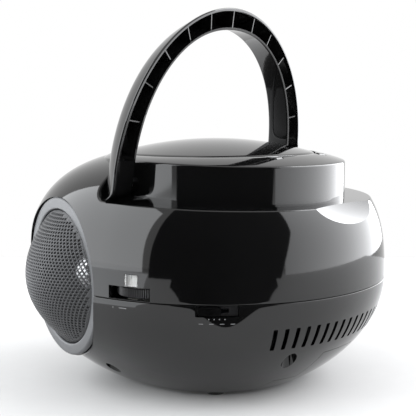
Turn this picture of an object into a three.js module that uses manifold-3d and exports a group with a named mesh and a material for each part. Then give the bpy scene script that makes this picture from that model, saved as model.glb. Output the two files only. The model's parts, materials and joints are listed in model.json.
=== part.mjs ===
// A round table-top CD and radio player with a fold-back carrying handle.
// Units are millimetres, +Z is up, the front faces -Y and the origin lies on the
// floor at the centre of the player's footprint.

import * as THREE from "three";
import { mergeVertices } from "three/addons/utils/BufferGeometryUtils.js";
import Module from "manifold-3d";

const wasm = await Module();
wasm.setup();

// ---------------------------------------------------------------- driving dimensions

const PART_GAP = 0.3;              // air gap kept between neighbouring pieces
const WALL = 2.6;                  // wall thickness of the two housings

// Outer form: a squashed dome over a bowl, both superelliptic in plan and in profile.
const BODY = {
  halfWidth: 110,
  planCentreY: 3.2,
  rearDepth: 109.4,
  frontDepth: 115.6,
  rearPower: 2.08,
  frontPower: 2.53,
  partingZ: 67,
  floorZ: 1.5,
  bowlDepth: 78.7,
  bowlPower: 1.88,
  domeHeight: 83.6,
  domePower: 2.92,
  segments: 36,
};

// Raised drum in the middle of the top, with the deck that the folded handle lies on.
// The drum's top edge and the deck both fall a little towards the rear.
const DRUM = { radius: 77.9, centreY: 10.7, topZ: 144, rearFall: 2.6, segments: 36 };
const DECK_Z = 120.9;              // beside the handle's pivots
const DECK_SLOPE = 0.032;
const LID = { radius: 64, centreY: 4, edgeZ: 143.9, rimZ: 146.3, apexZ: 155.2, thickness: 2.4 };
const WELL = { floorZ: 128, innerRadius: 61.5, outerRadius: 64 };
const LID_HINGE = { y: LID.centreY + LID.radius + 0.1, z: LID.edgeZ + 0.4, pinRadius: 0.8, lugX: 25 };
const SCOOP = { radius: 42, stretch: 2.3, y: 128.8, z: 143.5 };

// Carrying handle: an arch that leans back a little when it is up.
const HANDLE = {
  rearY: 3.4,
  depth: 16,
  springZ: 136,
  outer: { half: 98.8, rise: 104.2, power: 1.98 },
  inner: { half: 83.2, rise: 90.8, power: 2.12 },
  leanDeg: 8.4,
  pinRadius: 3.5,
  pinOuterX: 88.6,
  ribCount: 11,
};
const PIVOT = { y: HANDLE.rearY - HANDLE.depth / 2, z: 130 };

// Loudspeakers, one on each side, turned towards the front.
const SPEAKER = {
  x: 90.1,
  y: -48.2,
  z: 71.2,
  azimuthDeg: 68.5,
  tiltDeg: -2.5,
  ringOuter: 49.2,
  ringInner: 42,
  grilleBulge: 21.2,
};

// Thumbwheels, one in each side just above the parting line.
const WHEEL = { x: 87.4, y: 22.5, radius: 20, bottomZ: 68.7, thickness: 5.8, shaftRadius: 2.9 };
const WHEEL_SLOT = { y0: 9, y1: 36, z0: 67.8, z1: 75.2 };
const SCALE = { radius: 17.2, topZ: 84 };
const SCALE_WINDOW = { y0: 20, y1: 28.7, z0: 75.2, z1: 82.4 };

// Function slider under the parting line at the right rear.
const SLIDER = {
  azimuthDeg: 127,
  x: 88.2,
  y: 69.7,
  z: 63.6,
  recessWidth: 24.3,
  recessHeight: 6.6,
  knobWidth: 13.4,
  knobHeight: 5.2,
  travel: 8.1,
};

const VENT = { count: 19, firstDeg: 145, lastDeg: 215, z0: 38, z1: 51.4, width: 2.7 };
const SCREW_WELLS = [
  { name: "front_right", x: 80, y: -15, topZ: 38 },
  { name: "front_left", x: -80, y: -15, topZ: 38 },
  { name: "rear_right", x: 41.5, y: 87.5, topZ: 44 },
  { name: "rear_left", x: -41.5, y: 87.5, topZ: 44 },
];
const FEET = [
  { name: "front_right", x: 30, y: -42 },
  { name: "front_left", x: -30, y: -42 },
  { name: "rear_right", x: 41, y: 34 },
  { name: "rear_left", x: -41, y: 34 },
];
const DOOR = { halfWidth: 33, frontY: -28, latchHalfWidth: 16.5, latchZ: 30, skirtZ: 12 };
const PANEL = { halfWidth: 46, z0: 76, z1: 117, corner: 7 };
const DISPLAY = { halfWidth: 17, z0: 97, z1: 111 };
const KEY = { radius: 4.4, z: 87, pitch: 16, proud: 1 };

// ---------------------------------------------------------------- materials

const gloss = (color) => new THREE.MeshStandardMaterial({ color, roughness: 0.12, metalness: 0 });
const satin = (color) => new THREE.MeshStandardMaterial({ color, roughness: 0.45, metalness: 0 });
const metal = (color) => new THREE.MeshStandardMaterial({ color, roughness: 0.35, metalness: 1 });

const BLACK = 0x0b0b0c;
const DARK = 0x1c1c1e;
const SILVER = 0x9a9ca0;
const STEEL = 0xb8bcc2;
const BOARD = 0x1f5a34;

// ---------------------------------------------------------------- solids

/** Turns a closed three.js geometry into a solid that can be cut and joined. */
function solid(geometry) {
  const bare = geometry.clone();
  bare.deleteAttribute("normal");
  bare.deleteAttribute("uv");
  const merged = mergeVertices(bare, 1e-4);
  const points = merged.attributes.position.array;
  const faces = Array.from(merged.index.array);
  if (signedVolume(points, faces) < 0) faces.reverse();
  const mesh = new wasm.Mesh({
    numProp: 3,
    vertProperties: new Float32Array(points),
    triVerts: new Uint32Array(faces),
  });
  return new wasm.Manifold(mesh);
}

function signedVolume(points, faces) {
  const corner = (i) => new THREE.Vector3().fromArray(points, faces[i] * 3);
  let volume = 0;
  for (let i = 0; i < faces.length; i += 3) {
    volume += corner(i).dot(corner(i + 1).cross(corner(i + 2)));
  }
  return volume;
}

/** Turns a solid back into a three.js geometry. */
function toGeometry(body) {
  const mesh = body.getMesh();
  const geometry = new THREE.BufferGeometry();
  geometry.setAttribute("position", new THREE.BufferAttribute(mesh.vertProperties, 3));
  geometry.setIndex(new THREE.BufferAttribute(mesh.triVerts, 1));
  geometry.computeVertexNormals();
  return geometry;
}

const joined = (first, ...rest) => rest.reduce((sum, next) => sum.add(next), first);
const cut = (first, ...rest) => rest.reduce((sum, next) => sum.subtract(next), first);

/** A box given by its lowest and highest corners. */
function boxBetween(low, high) {
  const size = high.map((value, axis) => value - low[axis]);
  const centre = high.map((value, axis) => (value + low[axis]) / 2);
  return solid(new THREE.BoxGeometry(...size).translate(...centre));
}

/** A round bar from one point to another. */
function bar(radius, from, to, segments = 20) {
  const start = new THREE.Vector3(...from);
  const end = new THREE.Vector3(...to);
  const direction = end.clone().sub(start);
  const geometry = new THREE.CylinderGeometry(radius, radius, direction.length(), segments);
  const turn = new THREE.Quaternion().setFromUnitVectors(
    new THREE.Vector3(0, 1, 0),
    direction.clone().normalize(),
  );
  geometry.applyQuaternion(turn);
  const middle = start.add(end).multiplyScalar(0.5);
  return solid(geometry.translate(middle.x, middle.y, middle.z));
}

/** A turned piece about +Z; the profile holds [radius, z] pairs and closes on itself. */
function turned(profile, x = 0, y = 0, segments = 32) {
  const points = profile.map(([radius, z]) => new THREE.Vector2(radius, z));
  if (profile[0][0] > 0) points.push(points[0].clone());
  const geometry = new THREE.LatheGeometry(points, segments);
  return solid(geometry.rotateX(Math.PI / 2).translate(x, y, 0));
}

/** A closed skin through rings that all hold the same number of points. */
function loft(rings) {
  const count = rings[0].length;
  const positions = rings.flat();
  const faces = [];
  for (let level = 0; level + 1 < rings.length; level += 1) {
    for (let i = 0; i < count; i += 1) {
      const a = level * count + i;
      const b = level * count + ((i + 1) % count);
      faces.push(a, b, b + count, a, b + count, a + count);
    }
  }
  const last = (rings.length - 1) * count;
  for (let i = 1; i + 1 < count; i += 1) {
    faces.push(0, i + 1, i);
    faces.push(last, last + i, last + i + 1);
  }
  const geometry = new THREE.BufferGeometry();
  geometry.setAttribute("position", new THREE.Float32BufferAttribute(positions.flat(), 3));
  geometry.setIndex(faces);
  return solid(geometry);
}

/** A prism of a flat outline in the YZ plane, running along X. */
function prismAlongX(outline, x0, x1) {
  return loft([x0, x1].map((x) => outline.map(([y, z]) => [x, y, z])));
}

/** A prism of a rounded rectangle in the XZ plane, running along Y. */
function roundedPrismAlongY(x0, x1, z0, z1, corner, y0, y1) {
  const outline = roundedRectangle(x0, x1, z0, z1, corner);
  return loft([y0, y1].map((y) => outline.map(([x, z]) => [x, y, z])));
}

function roundedRectangle(x0, x1, z0, z1, corner) {
  const outline = [];
  const centres = [
    [x1 - corner, z1 - corner],
    [x0 + corner, z1 - corner],
    [x0 + corner, z0 + corner],
    [x1 - corner, z0 + corner],
  ];
  centres.forEach(([x, z], quarter) => {
    for (let step = 0; step <= 2; step += 1) {
      const angle = ((quarter + step / 2) * Math.PI) / 2;
      outline.push([x + corner * Math.cos(angle), z + corner * Math.sin(angle)]);
    }
  });
  return outline;
}

// ---------------------------------------------------------------- the body's form

/** How wide the body is at a height, as a fraction of its widest plan outline. */
function widthFactor(z, inset) {
  const above = z - BODY.partingZ;
  const reach = above < 0 ? BODY.bowlDepth - inset : BODY.domeHeight - inset;
  const power = above < 0 ? BODY.bowlPower : BODY.domePower;
  const rest = 1 - Math.pow(Math.abs(above) / reach, power);
  return Math.pow(Math.max(rest, 1e-4), 1 / power);
}

/** The outline of the body at a height, drawn in by an inset. */
function bodyOutline(z, inset = 0) {
  const factor = widthFactor(z, inset);
  const ring = [];
  for (let i = 0; i < BODY.segments; i += 1) {
    const angle = (i / BODY.segments) * 2 * Math.PI;
    const rear = Math.sin(angle) >= 0;
    const power = rear ? BODY.rearPower : BODY.frontPower;
    const depth = (rear ? BODY.rearDepth : BODY.frontDepth) - inset;
    const along = (value) => Math.sign(value) * Math.pow(Math.abs(value), 2 / power);
    const x = factor * (BODY.halfWidth - inset) * along(Math.cos(angle));
    const y = BODY.planCentreY + factor * depth * along(Math.sin(angle));
    ring.push([x, y, z]);
  }
  return ring;
}

/** The whole body between two heights, as a solid drawn in by an inset. */
function bodyForm(z0, z1, inset = 0, levels = 5) {
  const rings = [];
  for (let level = 0; level <= levels; level += 1) {
    const share = level / levels;
    rings.push(bodyOutline(z0 + (z1 - z0) * share, inset));
  }
  return loft(rings);
}

// ---------------------------------------------------------------- loudspeaker frame

/** Moves a piece built about +Z, with its front at z = 0, to a loudspeaker's place. */
function speakerMatrix(side) {
  const azimuth = THREE.MathUtils.degToRad(SPEAKER.azimuthDeg * side);
  const tilt = THREE.MathUtils.degToRad(SPEAKER.tiltDeg);
  const normal = new THREE.Vector3(
    Math.sin(azimuth) * Math.cos(tilt),
    -Math.cos(azimuth) * Math.cos(tilt),
    Math.sin(tilt),
  );
  const turn = new THREE.Quaternion().setFromUnitVectors(new THREE.Vector3(0, 0, 1), normal);
  const place = new THREE.Vector3(SPEAKER.x * side, SPEAKER.y, SPEAKER.z);
  return new THREE.Matrix4().compose(place, turn, new THREE.Vector3(1, 1, 1));
}

function speakerTurned(side, profile, segments = 24) {
  const points = profile.map(([radius, z]) => new THREE.Vector2(radius, z));
  if (profile[0][0] > 0) points.push(points[0].clone());
  const geometry = new THREE.LatheGeometry(points, segments).rotateX(Math.PI / 2);
  return solid(geometry.applyMatrix4(speakerMatrix(side)));
}

/** A thin dome's profile: outer surface to the rim, and back along the inner surface. */
function domeProfile(radius, base, bulge, thickness, steps = 3) {
  const outer = [];
  const inner = [];
  for (let i = 0; i <= steps; i += 1) {
    const share = i / steps;
    const rise = bulge * (1 - share * share);
    outer.push([radius * share, base + rise]);
    inner.unshift([radius * share, base + rise - thickness]);
  }
  return [...outer, ...inner];
}

// ---------------------------------------------------------------- housings

const drumForm = (inset, z0, z1) =>
  bar(DRUM.radius - inset, [0, DRUM.centreY, z0], [0, DRUM.centreY, z1], DRUM.segments);

/** The region above the deck, behind the pivots; its front corner is round. */
function deckRegion(grow) {
  const radius = PIVOT.z - DECK_Z + grow;
  const outline = [];
  for (let step = 0; step <= 6; step += 1) {
    const angle = Math.PI + (step / 6) * (Math.PI / 2);
    outline.push([PIVOT.y + radius * Math.cos(angle), PIVOT.z + radius * Math.sin(angle)]);
  }
  outline.push([140, DECK_Z - grow - DECK_SLOPE * (140 - PIVOT.y)]);
  outline.push([140, 170], [PIVOT.y - radius, 170]);
  return prismAlongX(outline, -130, 130);
}

/** The drum's sloping rim band, from the wall's edge up to the lid's opening. */
function rimBand() {
  const circle = (radius, y, z, rearFall = 0) => {
    const ring = [];
    for (let i = 0; i < DRUM.segments; i += 1) {
      const angle = (i / DRUM.segments) * 2 * Math.PI;
      const fall = rearFall * Math.max(0, Math.sin(angle));
      ring.push([radius * Math.cos(angle), y + radius * Math.sin(angle), z - fall]);
    }
    return ring;
  };
  return loft([
    circle(DRUM.radius, DRUM.centreY, DECK_Z - 15),
    circle(DRUM.radius, DRUM.centreY, DRUM.topZ - 0.8, DRUM.rearFall),
    circle(DRUM.radius - 0.8, DRUM.centreY, DRUM.topZ, DRUM.rearFall),
    circle(LID.radius + 2.6, LID.centreY, LID.rimZ),
    circle(LID.radius + 0.5, LID.centreY, LID.edgeZ + 0.6),
  ]);
}

/** The wide finger hollow in the deck's rear edge; it ends short of the drum's wall. */
function scoop(grow) {
  const hollow = solid(new THREE.SphereGeometry(SCOOP.radius + grow, 32, 24)
    .scale(SCOOP.stretch, 1, 1)
    .translate(0, SCOOP.y, SCOOP.z));
  return hollow.intersect(boxBetween([-60, 80, 90], [60, 140, DECK_Z + 4 + grow]));
}

/** Short round pods that carry the loudspeaker rings, one on each side. */
const speakerPod = (side) => speakerTurned(side, [[0, -28], [49.9, -28], [49.9, -3.4], [0, -3.4]], 28);
const speakerBore = (side) => speakerTurned(side, [[0, -30], [42.4, -30], [42.4, 20], [0, 20]], 28);
const speakerClear = (side) => speakerTurned(side, [[0, -3.5], [49.6, -3.5], [49.6, 30], [0, 30]], 28);

function upperHousing() {
  const base = BODY.partingZ + PART_GAP / 2;
  const drumInner = drumForm(WALL, DECK_Z - 12, DRUM.topZ - DRUM.rearFall - 2.5);
  let shell = bodyForm(base, DRUM.topZ, 0, 5);
  shell = joined(shell, upperHalf(speakerPod(1)), upperHalf(speakerPod(-1)));
  shell = cut(shell, cut(deckRegion(0), drumForm(0, 100, 180)));
  shell = joined(shell, rimBand());

  let hollow = bodyForm(base - 1, DRUM.topZ - 3, WALL, 3);
  hollow = cut(hollow, cut(deckRegion(WALL), drumForm(WALL, 90, 180)));
  hollow = joined(hollow, drumInner);
  hollow = cut(hollow, scoop(WALL));
  shell = cut(shell, hollow, scoop(0));
  for (const side of [1, -1]) shell = joined(shell, rodBracket(side));

  shell = cut(shell, upperHalf(speakerBore(1)), upperHalf(speakerBore(-1)));
  shell = cut(shell, speakerClear(1), speakerClear(-1));
  const lidOpening = [[0, 120], [LID.radius + 0.5, 120], [LID.radius + 0.5, 160], [0, 160]];
  shell = cut(shell, turned(lidOpening, 0, LID.centreY, 40));
  shell = cut(shell, panelOpening(PART_GAP), lidKeyHole());
  for (const side of [1, -1]) {
    shell = cut(shell, wheelSlot(side), pivotHole(side), hingeNotch(side));
  }
  return cut(shell, windowOpening());
}

/** A rib on the rear wall that carries one end of the aerial rod. */
function rodBracket(side) {
  const rib = boxBetween([29 * side - 1.5, 83, 80], [29 * side + 1.5, 120, 88]);
  return rib.intersect(bodyForm(75, 95, WALL / 2, 2));
}

const upperHalf = (piece) =>
  cut(piece, boxBetween([-150, -150, -10], [150, 150, BODY.partingZ + PART_GAP / 2]));
const lowerHalf = (piece) =>
  cut(piece, boxBetween([-150, -150, BODY.partingZ - PART_GAP / 2], [150, 150, 200]));

function lowerHousing() {
  const top = BODY.partingZ - PART_GAP / 2;
  let shell = bodyForm(BODY.floorZ, top, 0, 5);
  shell = joined(shell, lowerHalf(speakerPod(1)), lowerHalf(speakerPod(-1)));
  shell = cut(shell, bodyForm(BODY.floorZ + WALL, top + 1, WALL, 4));
  shell = cut(shell, lowerHalf(speakerBore(1)), lowerHalf(speakerBore(-1)));
  shell = cut(shell, speakerClear(1), speakerClear(-1));
  for (const well of SCREW_WELLS) {
    const boss = bar(7, [well.x, well.y, 5], [well.x, well.y, well.topZ + 12], 16);
    const inside = bodyForm(BODY.floorZ, top, 0.6, 5);
    shell = joined(shell, boss.intersect(inside));
    shell = cut(shell, bar(4.6, [well.x, well.y, -2], [well.x, well.y, well.topZ], 16));
    shell = cut(shell, bar(1.9, [well.x, well.y, well.topZ - 1], [well.x, well.y, well.topZ + 13], 12));
  }
  for (let i = 0; i < VENT.count; i += 1) shell = cut(shell, ventSlot(i));
  shell = cut(shell, doorRegion(PART_GAP), sliderRecess(), inletHole(), jackHole());
  return shell;
}

/** One upright ventilation slot through the rear wall. */
function ventSlot(index) {
  const step = (VENT.lastDeg - VENT.firstDeg) / (VENT.count - 1);
  const azimuth = THREE.MathUtils.degToRad(VENT.firstDeg + index * step);
  const geometry = new THREE.BoxGeometry(VENT.width, 40, VENT.z1 - VENT.z0)
    .translate(0, -104, (VENT.z0 + VENT.z1) / 2)
    .rotateZ(azimuth)
    .translate(0, BODY.planCentreY, 0);
  return solid(geometry);
}

/** The slot that a thumbwheel shows through. */
const wheelSlot = (side) =>
  boxBetween(
    side > 0 ? [92, WHEEL_SLOT.y0, WHEEL_SLOT.z0] : [-120, WHEEL_SLOT.y0, WHEEL_SLOT.z0],
    side > 0 ? [120, WHEEL_SLOT.y1, WHEEL_SLOT.z1] : [-92, WHEEL_SLOT.y1, WHEEL_SLOT.z1],
  );

/** The small scale window is on the tuning side only; the volume side has a blank wall. */
const windowOpening = () =>
  boxBetween(
    [100, SCALE_WINDOW.y0, SCALE_WINDOW.z0 - 0.5],
    [120, SCALE_WINDOW.y1, SCALE_WINDOW.z1],
  );

const pivotHole = (side) =>
  bar(HANDLE.pinRadius + PART_GAP, [66 * side, PIVOT.y, PIVOT.z], [90 * side, PIVOT.y, PIVOT.z]);

const hingeNotch = (side) =>
  boxBetween(
    [LID_HINGE.lugX * side - 3.9, LID_HINGE.y - 8, LID_HINGE.z - 2.6],
    [LID_HINGE.lugX * side + 3.9, LID_HINGE.y + 2.4, LID_HINGE.z + 3],
  );

// ---------------------------------------------------------------- battery door

/** The part of the bowl's skin that the battery door fills. */
function doorRegion(grow) {
  const plate = boxBetween(
    [-DOOR.halfWidth - grow, DOOR.frontY - grow, -5],
    [DOOR.halfWidth + grow, 130, DOOR.skirtZ + grow],
  );
  const latch = boxBetween(
    [-DOOR.latchHalfWidth - grow, 50, -5],
    [DOOR.latchHalfWidth + grow, 130, DOOR.latchZ + grow],
  );
  return joined(plate, latch);
}

function batteryDoor() {
  const skin = cut(bodyForm(BODY.floorZ, 40, 0, 5), bodyForm(BODY.floorZ + WALL, 41, WALL, 4));
  return skin.intersect(doorRegion(0));
}

function batteryBox() {
  const outer = boxBetween([-40, -36, 5.2], [40, 62, 33]);
  const inner = boxBetween([-38.4, -34.4, 4], [38.4, 60.4, 31.4]);
  const inside = bodyForm(BODY.floorZ + WALL, 60, WALL + 1, 5);
  const posts = [[-30, -30], [30, -30], [-30, 12], [30, 12]].map(([x, y]) =>
    bar(3, [x, y, 32.5], [x, y, 37.7], 12));
  return joined(cut(outer.intersect(inside), inner), ...posts);
}

// ---------------------------------------------------------------- lid and CD well

function cdLid() {
  const rise = LID.apexZ - LID.rimZ;
  const profile = [[0, LID.apexZ - LID.thickness]];
  for (const share of [0.5, 0.9]) {
    profile.push([LID.radius * share, LID.apexZ - LID.thickness - rise * share * share]);
  }
  profile.push([LID.radius - 2.4, LID.edgeZ], [LID.radius, LID.edgeZ], [LID.radius, LID.edgeZ + 0.8]);
  profile.push([LID.radius - 0.7, LID.edgeZ + 1.8]);
  for (const share of [0.94, 0.7, 0.35]) {
    profile.push([LID.radius * share, LID.apexZ - rise * share * share]);
  }
  profile.push([0, LID.apexZ]);
  let lid = turned(profile.reverse(), 0, LID.centreY, 36);
  for (const side of [1, -1]) {
    const x = LID_HINGE.lugX * side;
    const inner = LID.centreY + Math.sqrt(LID.radius ** 2 - (LID_HINGE.lugX + 3) ** 2) - 2;
    const web = boxBetween(
      [x - 3, inner, LID.edgeZ],
      [x + 3, LID_HINGE.y, LID.edgeZ + 1.4],
    );
    const lug = bar(1.8, [x - 3, LID_HINGE.y, LID_HINGE.z], [x + 3, LID_HINGE.y, LID_HINGE.z], 14);
    lid = joined(lid, web, lug);
    lid = cut(lid, bar(LID_HINGE.pinRadius + 0.05, [x - 5, LID_HINGE.y, LID_HINGE.z],
      [x + 5, LID_HINGE.y, LID_HINGE.z], 12));
  }
  return lid;
}

function cdWell() {
  let well = turned(
    [
      [0, WELL.floorZ],
      [WELL.outerRadius, WELL.floorZ],
      [WELL.outerRadius, LID.edgeZ - 0.4],
      [WELL.innerRadius, LID.edgeZ - 0.4],
      [WELL.innerRadius, WELL.floorZ + 2],
      [0, WELL.floorZ + 2],
    ],
    0,
    LID.centreY,
    36,
  );
  const x = SPINDLE.x;
  well = cut(well, bar(16.5, [x, SPINDLE.y, 120], [x, SPINDLE.y, 135], 32));
  well = cut(well, boxBetween([x, SPINDLE.y - 9.5, 120], [x + 60, SPINDLE.y + 9.5, 135]));
  for (const side of [1, -1]) well = cut(well, hingeNotch(side));
  return cut(well, lidKeyHole());
}

// ---------------------------------------------------------------- disc mechanism

const SPINDLE = { x: 0, y: LID.centreY };
const SLED = { x0: 16, length: 13, width: 17, bottomZ: 119 };

const spindleHub = () =>
  turned(
    [[0, 122.4], [1.2, 122.4], [1.2, 128.4], [14.5, 128.4], [14.5, 131], [7.3, 131], [7, 132.6], [5, 134.4], [0, 134.4]],
    SPINDLE.x,
    SPINDLE.y,
    16,
  );
const spindleMotor = () => bar(12, [0, SPINDLE.y, 108], [0, SPINDLE.y, 122], 28);

function mechanismPlate() {
  let plate = boxBetween([-34, SPINDLE.y - 30, 122.6], [68, SPINDLE.y + 30, 124.6]);
  for (const [x, y] of [[-29, -25], [-29, 25], [50, -25], [50, 25]]) {
    plate = joined(plate, bar(3, [x, SPINDLE.y + y, 124], [x, SPINDLE.y + y, 127.7], 12));
  }
  plate = cut(plate, bar(3, [0, SPINDLE.y, 120], [0, SPINDLE.y, 130], 20));
  return cut(plate, boxBetween([14, SPINDLE.y - 12, 120], [65, SPINDLE.y + 12, 130]));
}

function laserSled() {
  const low = [SLED.x0, SPINDLE.y - SLED.width / 2, SLED.bottomZ];
  const high = [SLED.x0 + SLED.length, SPINDLE.y + SLED.width / 2, SLED.bottomZ + 7.5];
  let sled = boxBetween(low, high);
  for (const side of [1, -1]) {
    const y = SPINDLE.y + side * 6.2;
    sled = cut(sled, bar(1.55, [0, y, 120.6], [60, y, 120.6], 14));
  }
  return sled;
}

const laserLens = () => bar(3.2, [22.5, SPINDLE.y, 126.8], [22.5, SPINDLE.y, 128.6], 20);

const clamp = () =>
  turned([[0, 134.8], [10, 134.8], [12, 137], [12, 139], [5, 141], [0, 141]], 0, LID.centreY, 18);
const clampHolder = () =>
  turned(
    [[6, 142], [16, 142], [18, 151], [15, 151], [13, 145], [6, 145]],
    0,
    LID.centreY,
    18,
  );

// ---------------------------------------------------------------- lid key

const LID_KEY = { halfWidth: 6, y0: -65.2, y1: -61.4, z0: 139.8, z1: 145.8 };
const lidKeyHole = () =>
  boxBetween(
    [-LID_KEY.halfWidth - 0.4, LID_KEY.y0 - 0.4, LID_KEY.z0 - 2],
    [LID_KEY.halfWidth + 0.4, LID_KEY.y1 + 0.4, 160],
  );
const lidKey = () =>
  boxBetween(
    [-LID_KEY.halfWidth, LID_KEY.y0, LID_KEY.z0],
    [LID_KEY.halfWidth, LID_KEY.y1, LID_KEY.z1],
  );

// ---------------------------------------------------------------- front panel

const panelPrism = (grow) =>
  roundedPrismAlongY(
    -PANEL.halfWidth - grow,
    PANEL.halfWidth + grow,
    PANEL.z0 - grow,
    PANEL.z1 + grow,
    PANEL.corner,
    -130,
    -60,
  );
const displayPrism = (grow) =>
  roundedPrismAlongY(
    -DISPLAY.halfWidth - grow,
    DISPLAY.halfWidth + grow,
    DISPLAY.z0 - grow,
    DISPLAY.z1 + grow,
    2,
    -130,
    -60,
  );
const panelOpening = (grow) => panelPrism(grow);
const frontSkin = () => cut(bodyForm(72, 125, 0, 7), bodyForm(71, 126, WALL, 7));

const KEY_NAMES = ["key_program", "key_skip_back", "key_play_pause", "key_skip_forward", "key_stop"];
const keyX = (index) => (index - 2) * KEY.pitch;

/** The front wall's Y at a point, from the body's own outline. */
function frontY(x, z) {
  const factor = widthFactor(z, 0);
  const across = Math.abs(x / (factor * BODY.halfWidth)) ** BODY.frontPower;
  return BODY.planCentreY - factor * BODY.frontDepth * (1 - across) ** (1 / BODY.frontPower);
}

function frontPanel() {
  let panel = frontSkin().intersect(panelPrism(0));
  panel = cut(panel, displayPrism(PART_GAP));
  KEY_NAMES.forEach((name, index) => {
    const x = keyX(index);
    panel = cut(panel, bar(KEY.radius + 0.4, [x, -130, KEY.z], [x, -60, KEY.z], 14));
  });
  return panel;
}

const displayWindow = () => frontSkin().intersect(displayPrism(0));
const displayModule = () => boxBetween([-20, -97, 94], [20, -93, 114]);
const keyBoard = () => boxBetween([-42, -92.6, 79], [42, -91, 115]);

function frontKey(index) {
  const x = keyX(index);
  const front = frontY(x, KEY.z) - KEY.proud;
  return bar(KEY.radius, [x, front, KEY.z], [x, -94.5, KEY.z], 14);
}

// ---------------------------------------------------------------- loudspeakers

const speakerRing = (side) =>
  speakerTurned(side, [
    [SPEAKER.ringInner, -3.1],
    [SPEAKER.ringOuter, -3.1],
    [SPEAKER.ringOuter, -1.2],
    [SPEAKER.ringOuter - 1.6, 0],
    [SPEAKER.ringInner + 0.8, 0],
    [SPEAKER.ringInner, -0.8],
  ], 28);
const speakerGrille = (side) =>
  speakerTurned(side, domeProfile(SPEAKER.ringInner - 0.4, -1.4, SPEAKER.grilleBulge + 1.4, 1.2), 28);
const speakerBasket = (side) =>
  speakerTurned(side, [[41.6, -8], [41.6, -6], [37.8, -6], [36, -8], [18.5, -23], [0, -23],
    [0, -40], [19.4, -40], [19.4, -27], [20, -27], [37.5, -10], [38.6, -8]], 20);
const speakerCone = (side) =>
  speakerTurned(side, [[11.4, -17.6], [33, -7.6], [36.4, -5.4], [37.4, -5.4], [33.6, -6.4],
    [11.4, -16.2]].reverse(), 20);
const speakerCap = (side) =>
  speakerTurned(side, domeProfile(10.6, -15.6, 5.4, 1, 2), 14);

// ---------------------------------------------------------------- thumbwheels

/** A knurled thumbwheel on its short shaft. */
function thumbwheel(side) {
  const top = WHEEL.bottomZ + WHEEL.thickness;
  const knurls = 40;
  const ring = (z) => {
    const outline = [];
    for (let i = 0; i < knurls; i += 1) {
      const angle = (i / knurls) * 2 * Math.PI;
      const radius = WHEEL.radius - (i % 2) * 0.7;
      outline.push([
        WHEEL.x * side + radius * Math.cos(angle),
        WHEEL.y + radius * Math.sin(angle),
        z,
      ]);
    }
    return outline;
  };
  const shaft = bar(WHEEL.shaftRadius, [WHEEL.x * side, WHEEL.y, WHEEL.bottomZ - 6],
    [WHEEL.x * side, WHEEL.y, top - 1], 16);
  return joined(loft([ring(WHEEL.bottomZ), ring(top)]), shaft);
}

const tuningScale = () =>
  turned(
    [
      [SCALE.radius - 2, WHEEL.bottomZ + WHEEL.thickness + 0.3],
      [SCALE.radius, WHEEL.bottomZ + WHEEL.thickness + 0.3],
      [SCALE.radius, SCALE.topZ],
      [SCALE.radius - 2, SCALE.topZ],
    ],
    WHEEL.x,
    WHEEL.y,
    24,
  );

/** The little clear pane over the tuning scale, set flush in the housing wall. */
function scalePane() {
  const skin = cut(bodyForm(70, 95, 0, 5), bodyForm(69, 96, WALL - 0.8, 5));
  return skin.intersect(
    boxBetween(
      [100, SCALE_WINDOW.y0 + 0.3, SCALE_WINDOW.z0 + 0.3],
      [120, SCALE_WINDOW.y1 - 0.3, SCALE_WINDOW.z1 - 0.3],
    ),
  );
}

function wheelUnit(side) {
  const x = WHEEL.x * side;
  const block = boxBetween([x - 10, WHEEL.y - 10, 50], [x + 10, WHEEL.y + 10, 66]);
  return cut(block, bar(WHEEL.shaftRadius + 0.3, [x, WHEEL.y, 62], [x, WHEEL.y, 70], 16));
}

// ---------------------------------------------------------------- function slider

/** Moves a piece built with +X along the slider's travel and -Y outwards to its place. */
function atSlider(piece) {
  const angle = THREE.MathUtils.degToRad(SLIDER.azimuthDeg);
  return solid(piece.rotateZ(angle).translate(SLIDER.x, SLIDER.y, SLIDER.z));
}

const sliderBlock = (width, depth, height, x, y) =>
  atSlider(new THREE.BoxGeometry(width, depth, height).translate(x, y, 0));

const sliderRecess = () => sliderBlock(SLIDER.recessWidth, 16, SLIDER.recessHeight, 0, 0);

function sliderPlate() {
  const plate = sliderBlock(SLIDER.recessWidth - 0.6, 1.2, SLIDER.recessHeight - 0.6, 0, 3.2);
  return cut(plate, sliderBlock(SLIDER.travel + 5, 6, 2.4, 0, 3.2));
}

const sliderRestX = -SLIDER.recessWidth / 2 + SLIDER.knobWidth / 2 + 1.2;

function sliderKnob() {
  const knob = sliderBlock(SLIDER.knobWidth, 2.6, SLIDER.knobHeight, sliderRestX, 1);
  const stem = sliderBlock(2.4, 7, 1.8, -SLIDER.travel / 2, 4.5);
  return joined(knob, stem);
}

function slideSwitch() {
  const block = sliderBlock(24, 7, 9, 0, 10);
  return cut(block, sliderBlock(SLIDER.travel + 5, 6, 2.4, 0, 7.5));
}

// ---------------------------------------------------------------- sockets

const INLET = { x0: -82, x1: -66, y: 52, z: 40, halfWidth: 10, halfHeight: 6.5 };

/** A block centred on the mains inlet, with its mouth towards -X. */
const inletBlock = (x0, x1, halfWidth, halfHeight) =>
  boxBetween(
    [x0, INLET.y - halfWidth, INLET.z - halfHeight],
    [x1, INLET.y + halfWidth, INLET.z + halfHeight],
  );
const inletHole = () => inletBlock(-120, -64, INLET.halfWidth + 0.3, INLET.halfHeight + 0.3);

function powerInlet() {
  const shell = inletBlock(INLET.x0, INLET.x1, INLET.halfWidth, INLET.halfHeight);
  const mouth = inletBlock(INLET.x0 - 2, INLET.x1 - 4, 7.5, 4.2);
  const pins = [-3.6, 3.6].map((y) =>
    bar(1.1, [INLET.x0 + 1, INLET.y + y, INLET.z], [INLET.x1 - 3, INLET.y + y, INLET.z], 12));
  return joined(cut(shell, mouth), ...pins);
}

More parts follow.
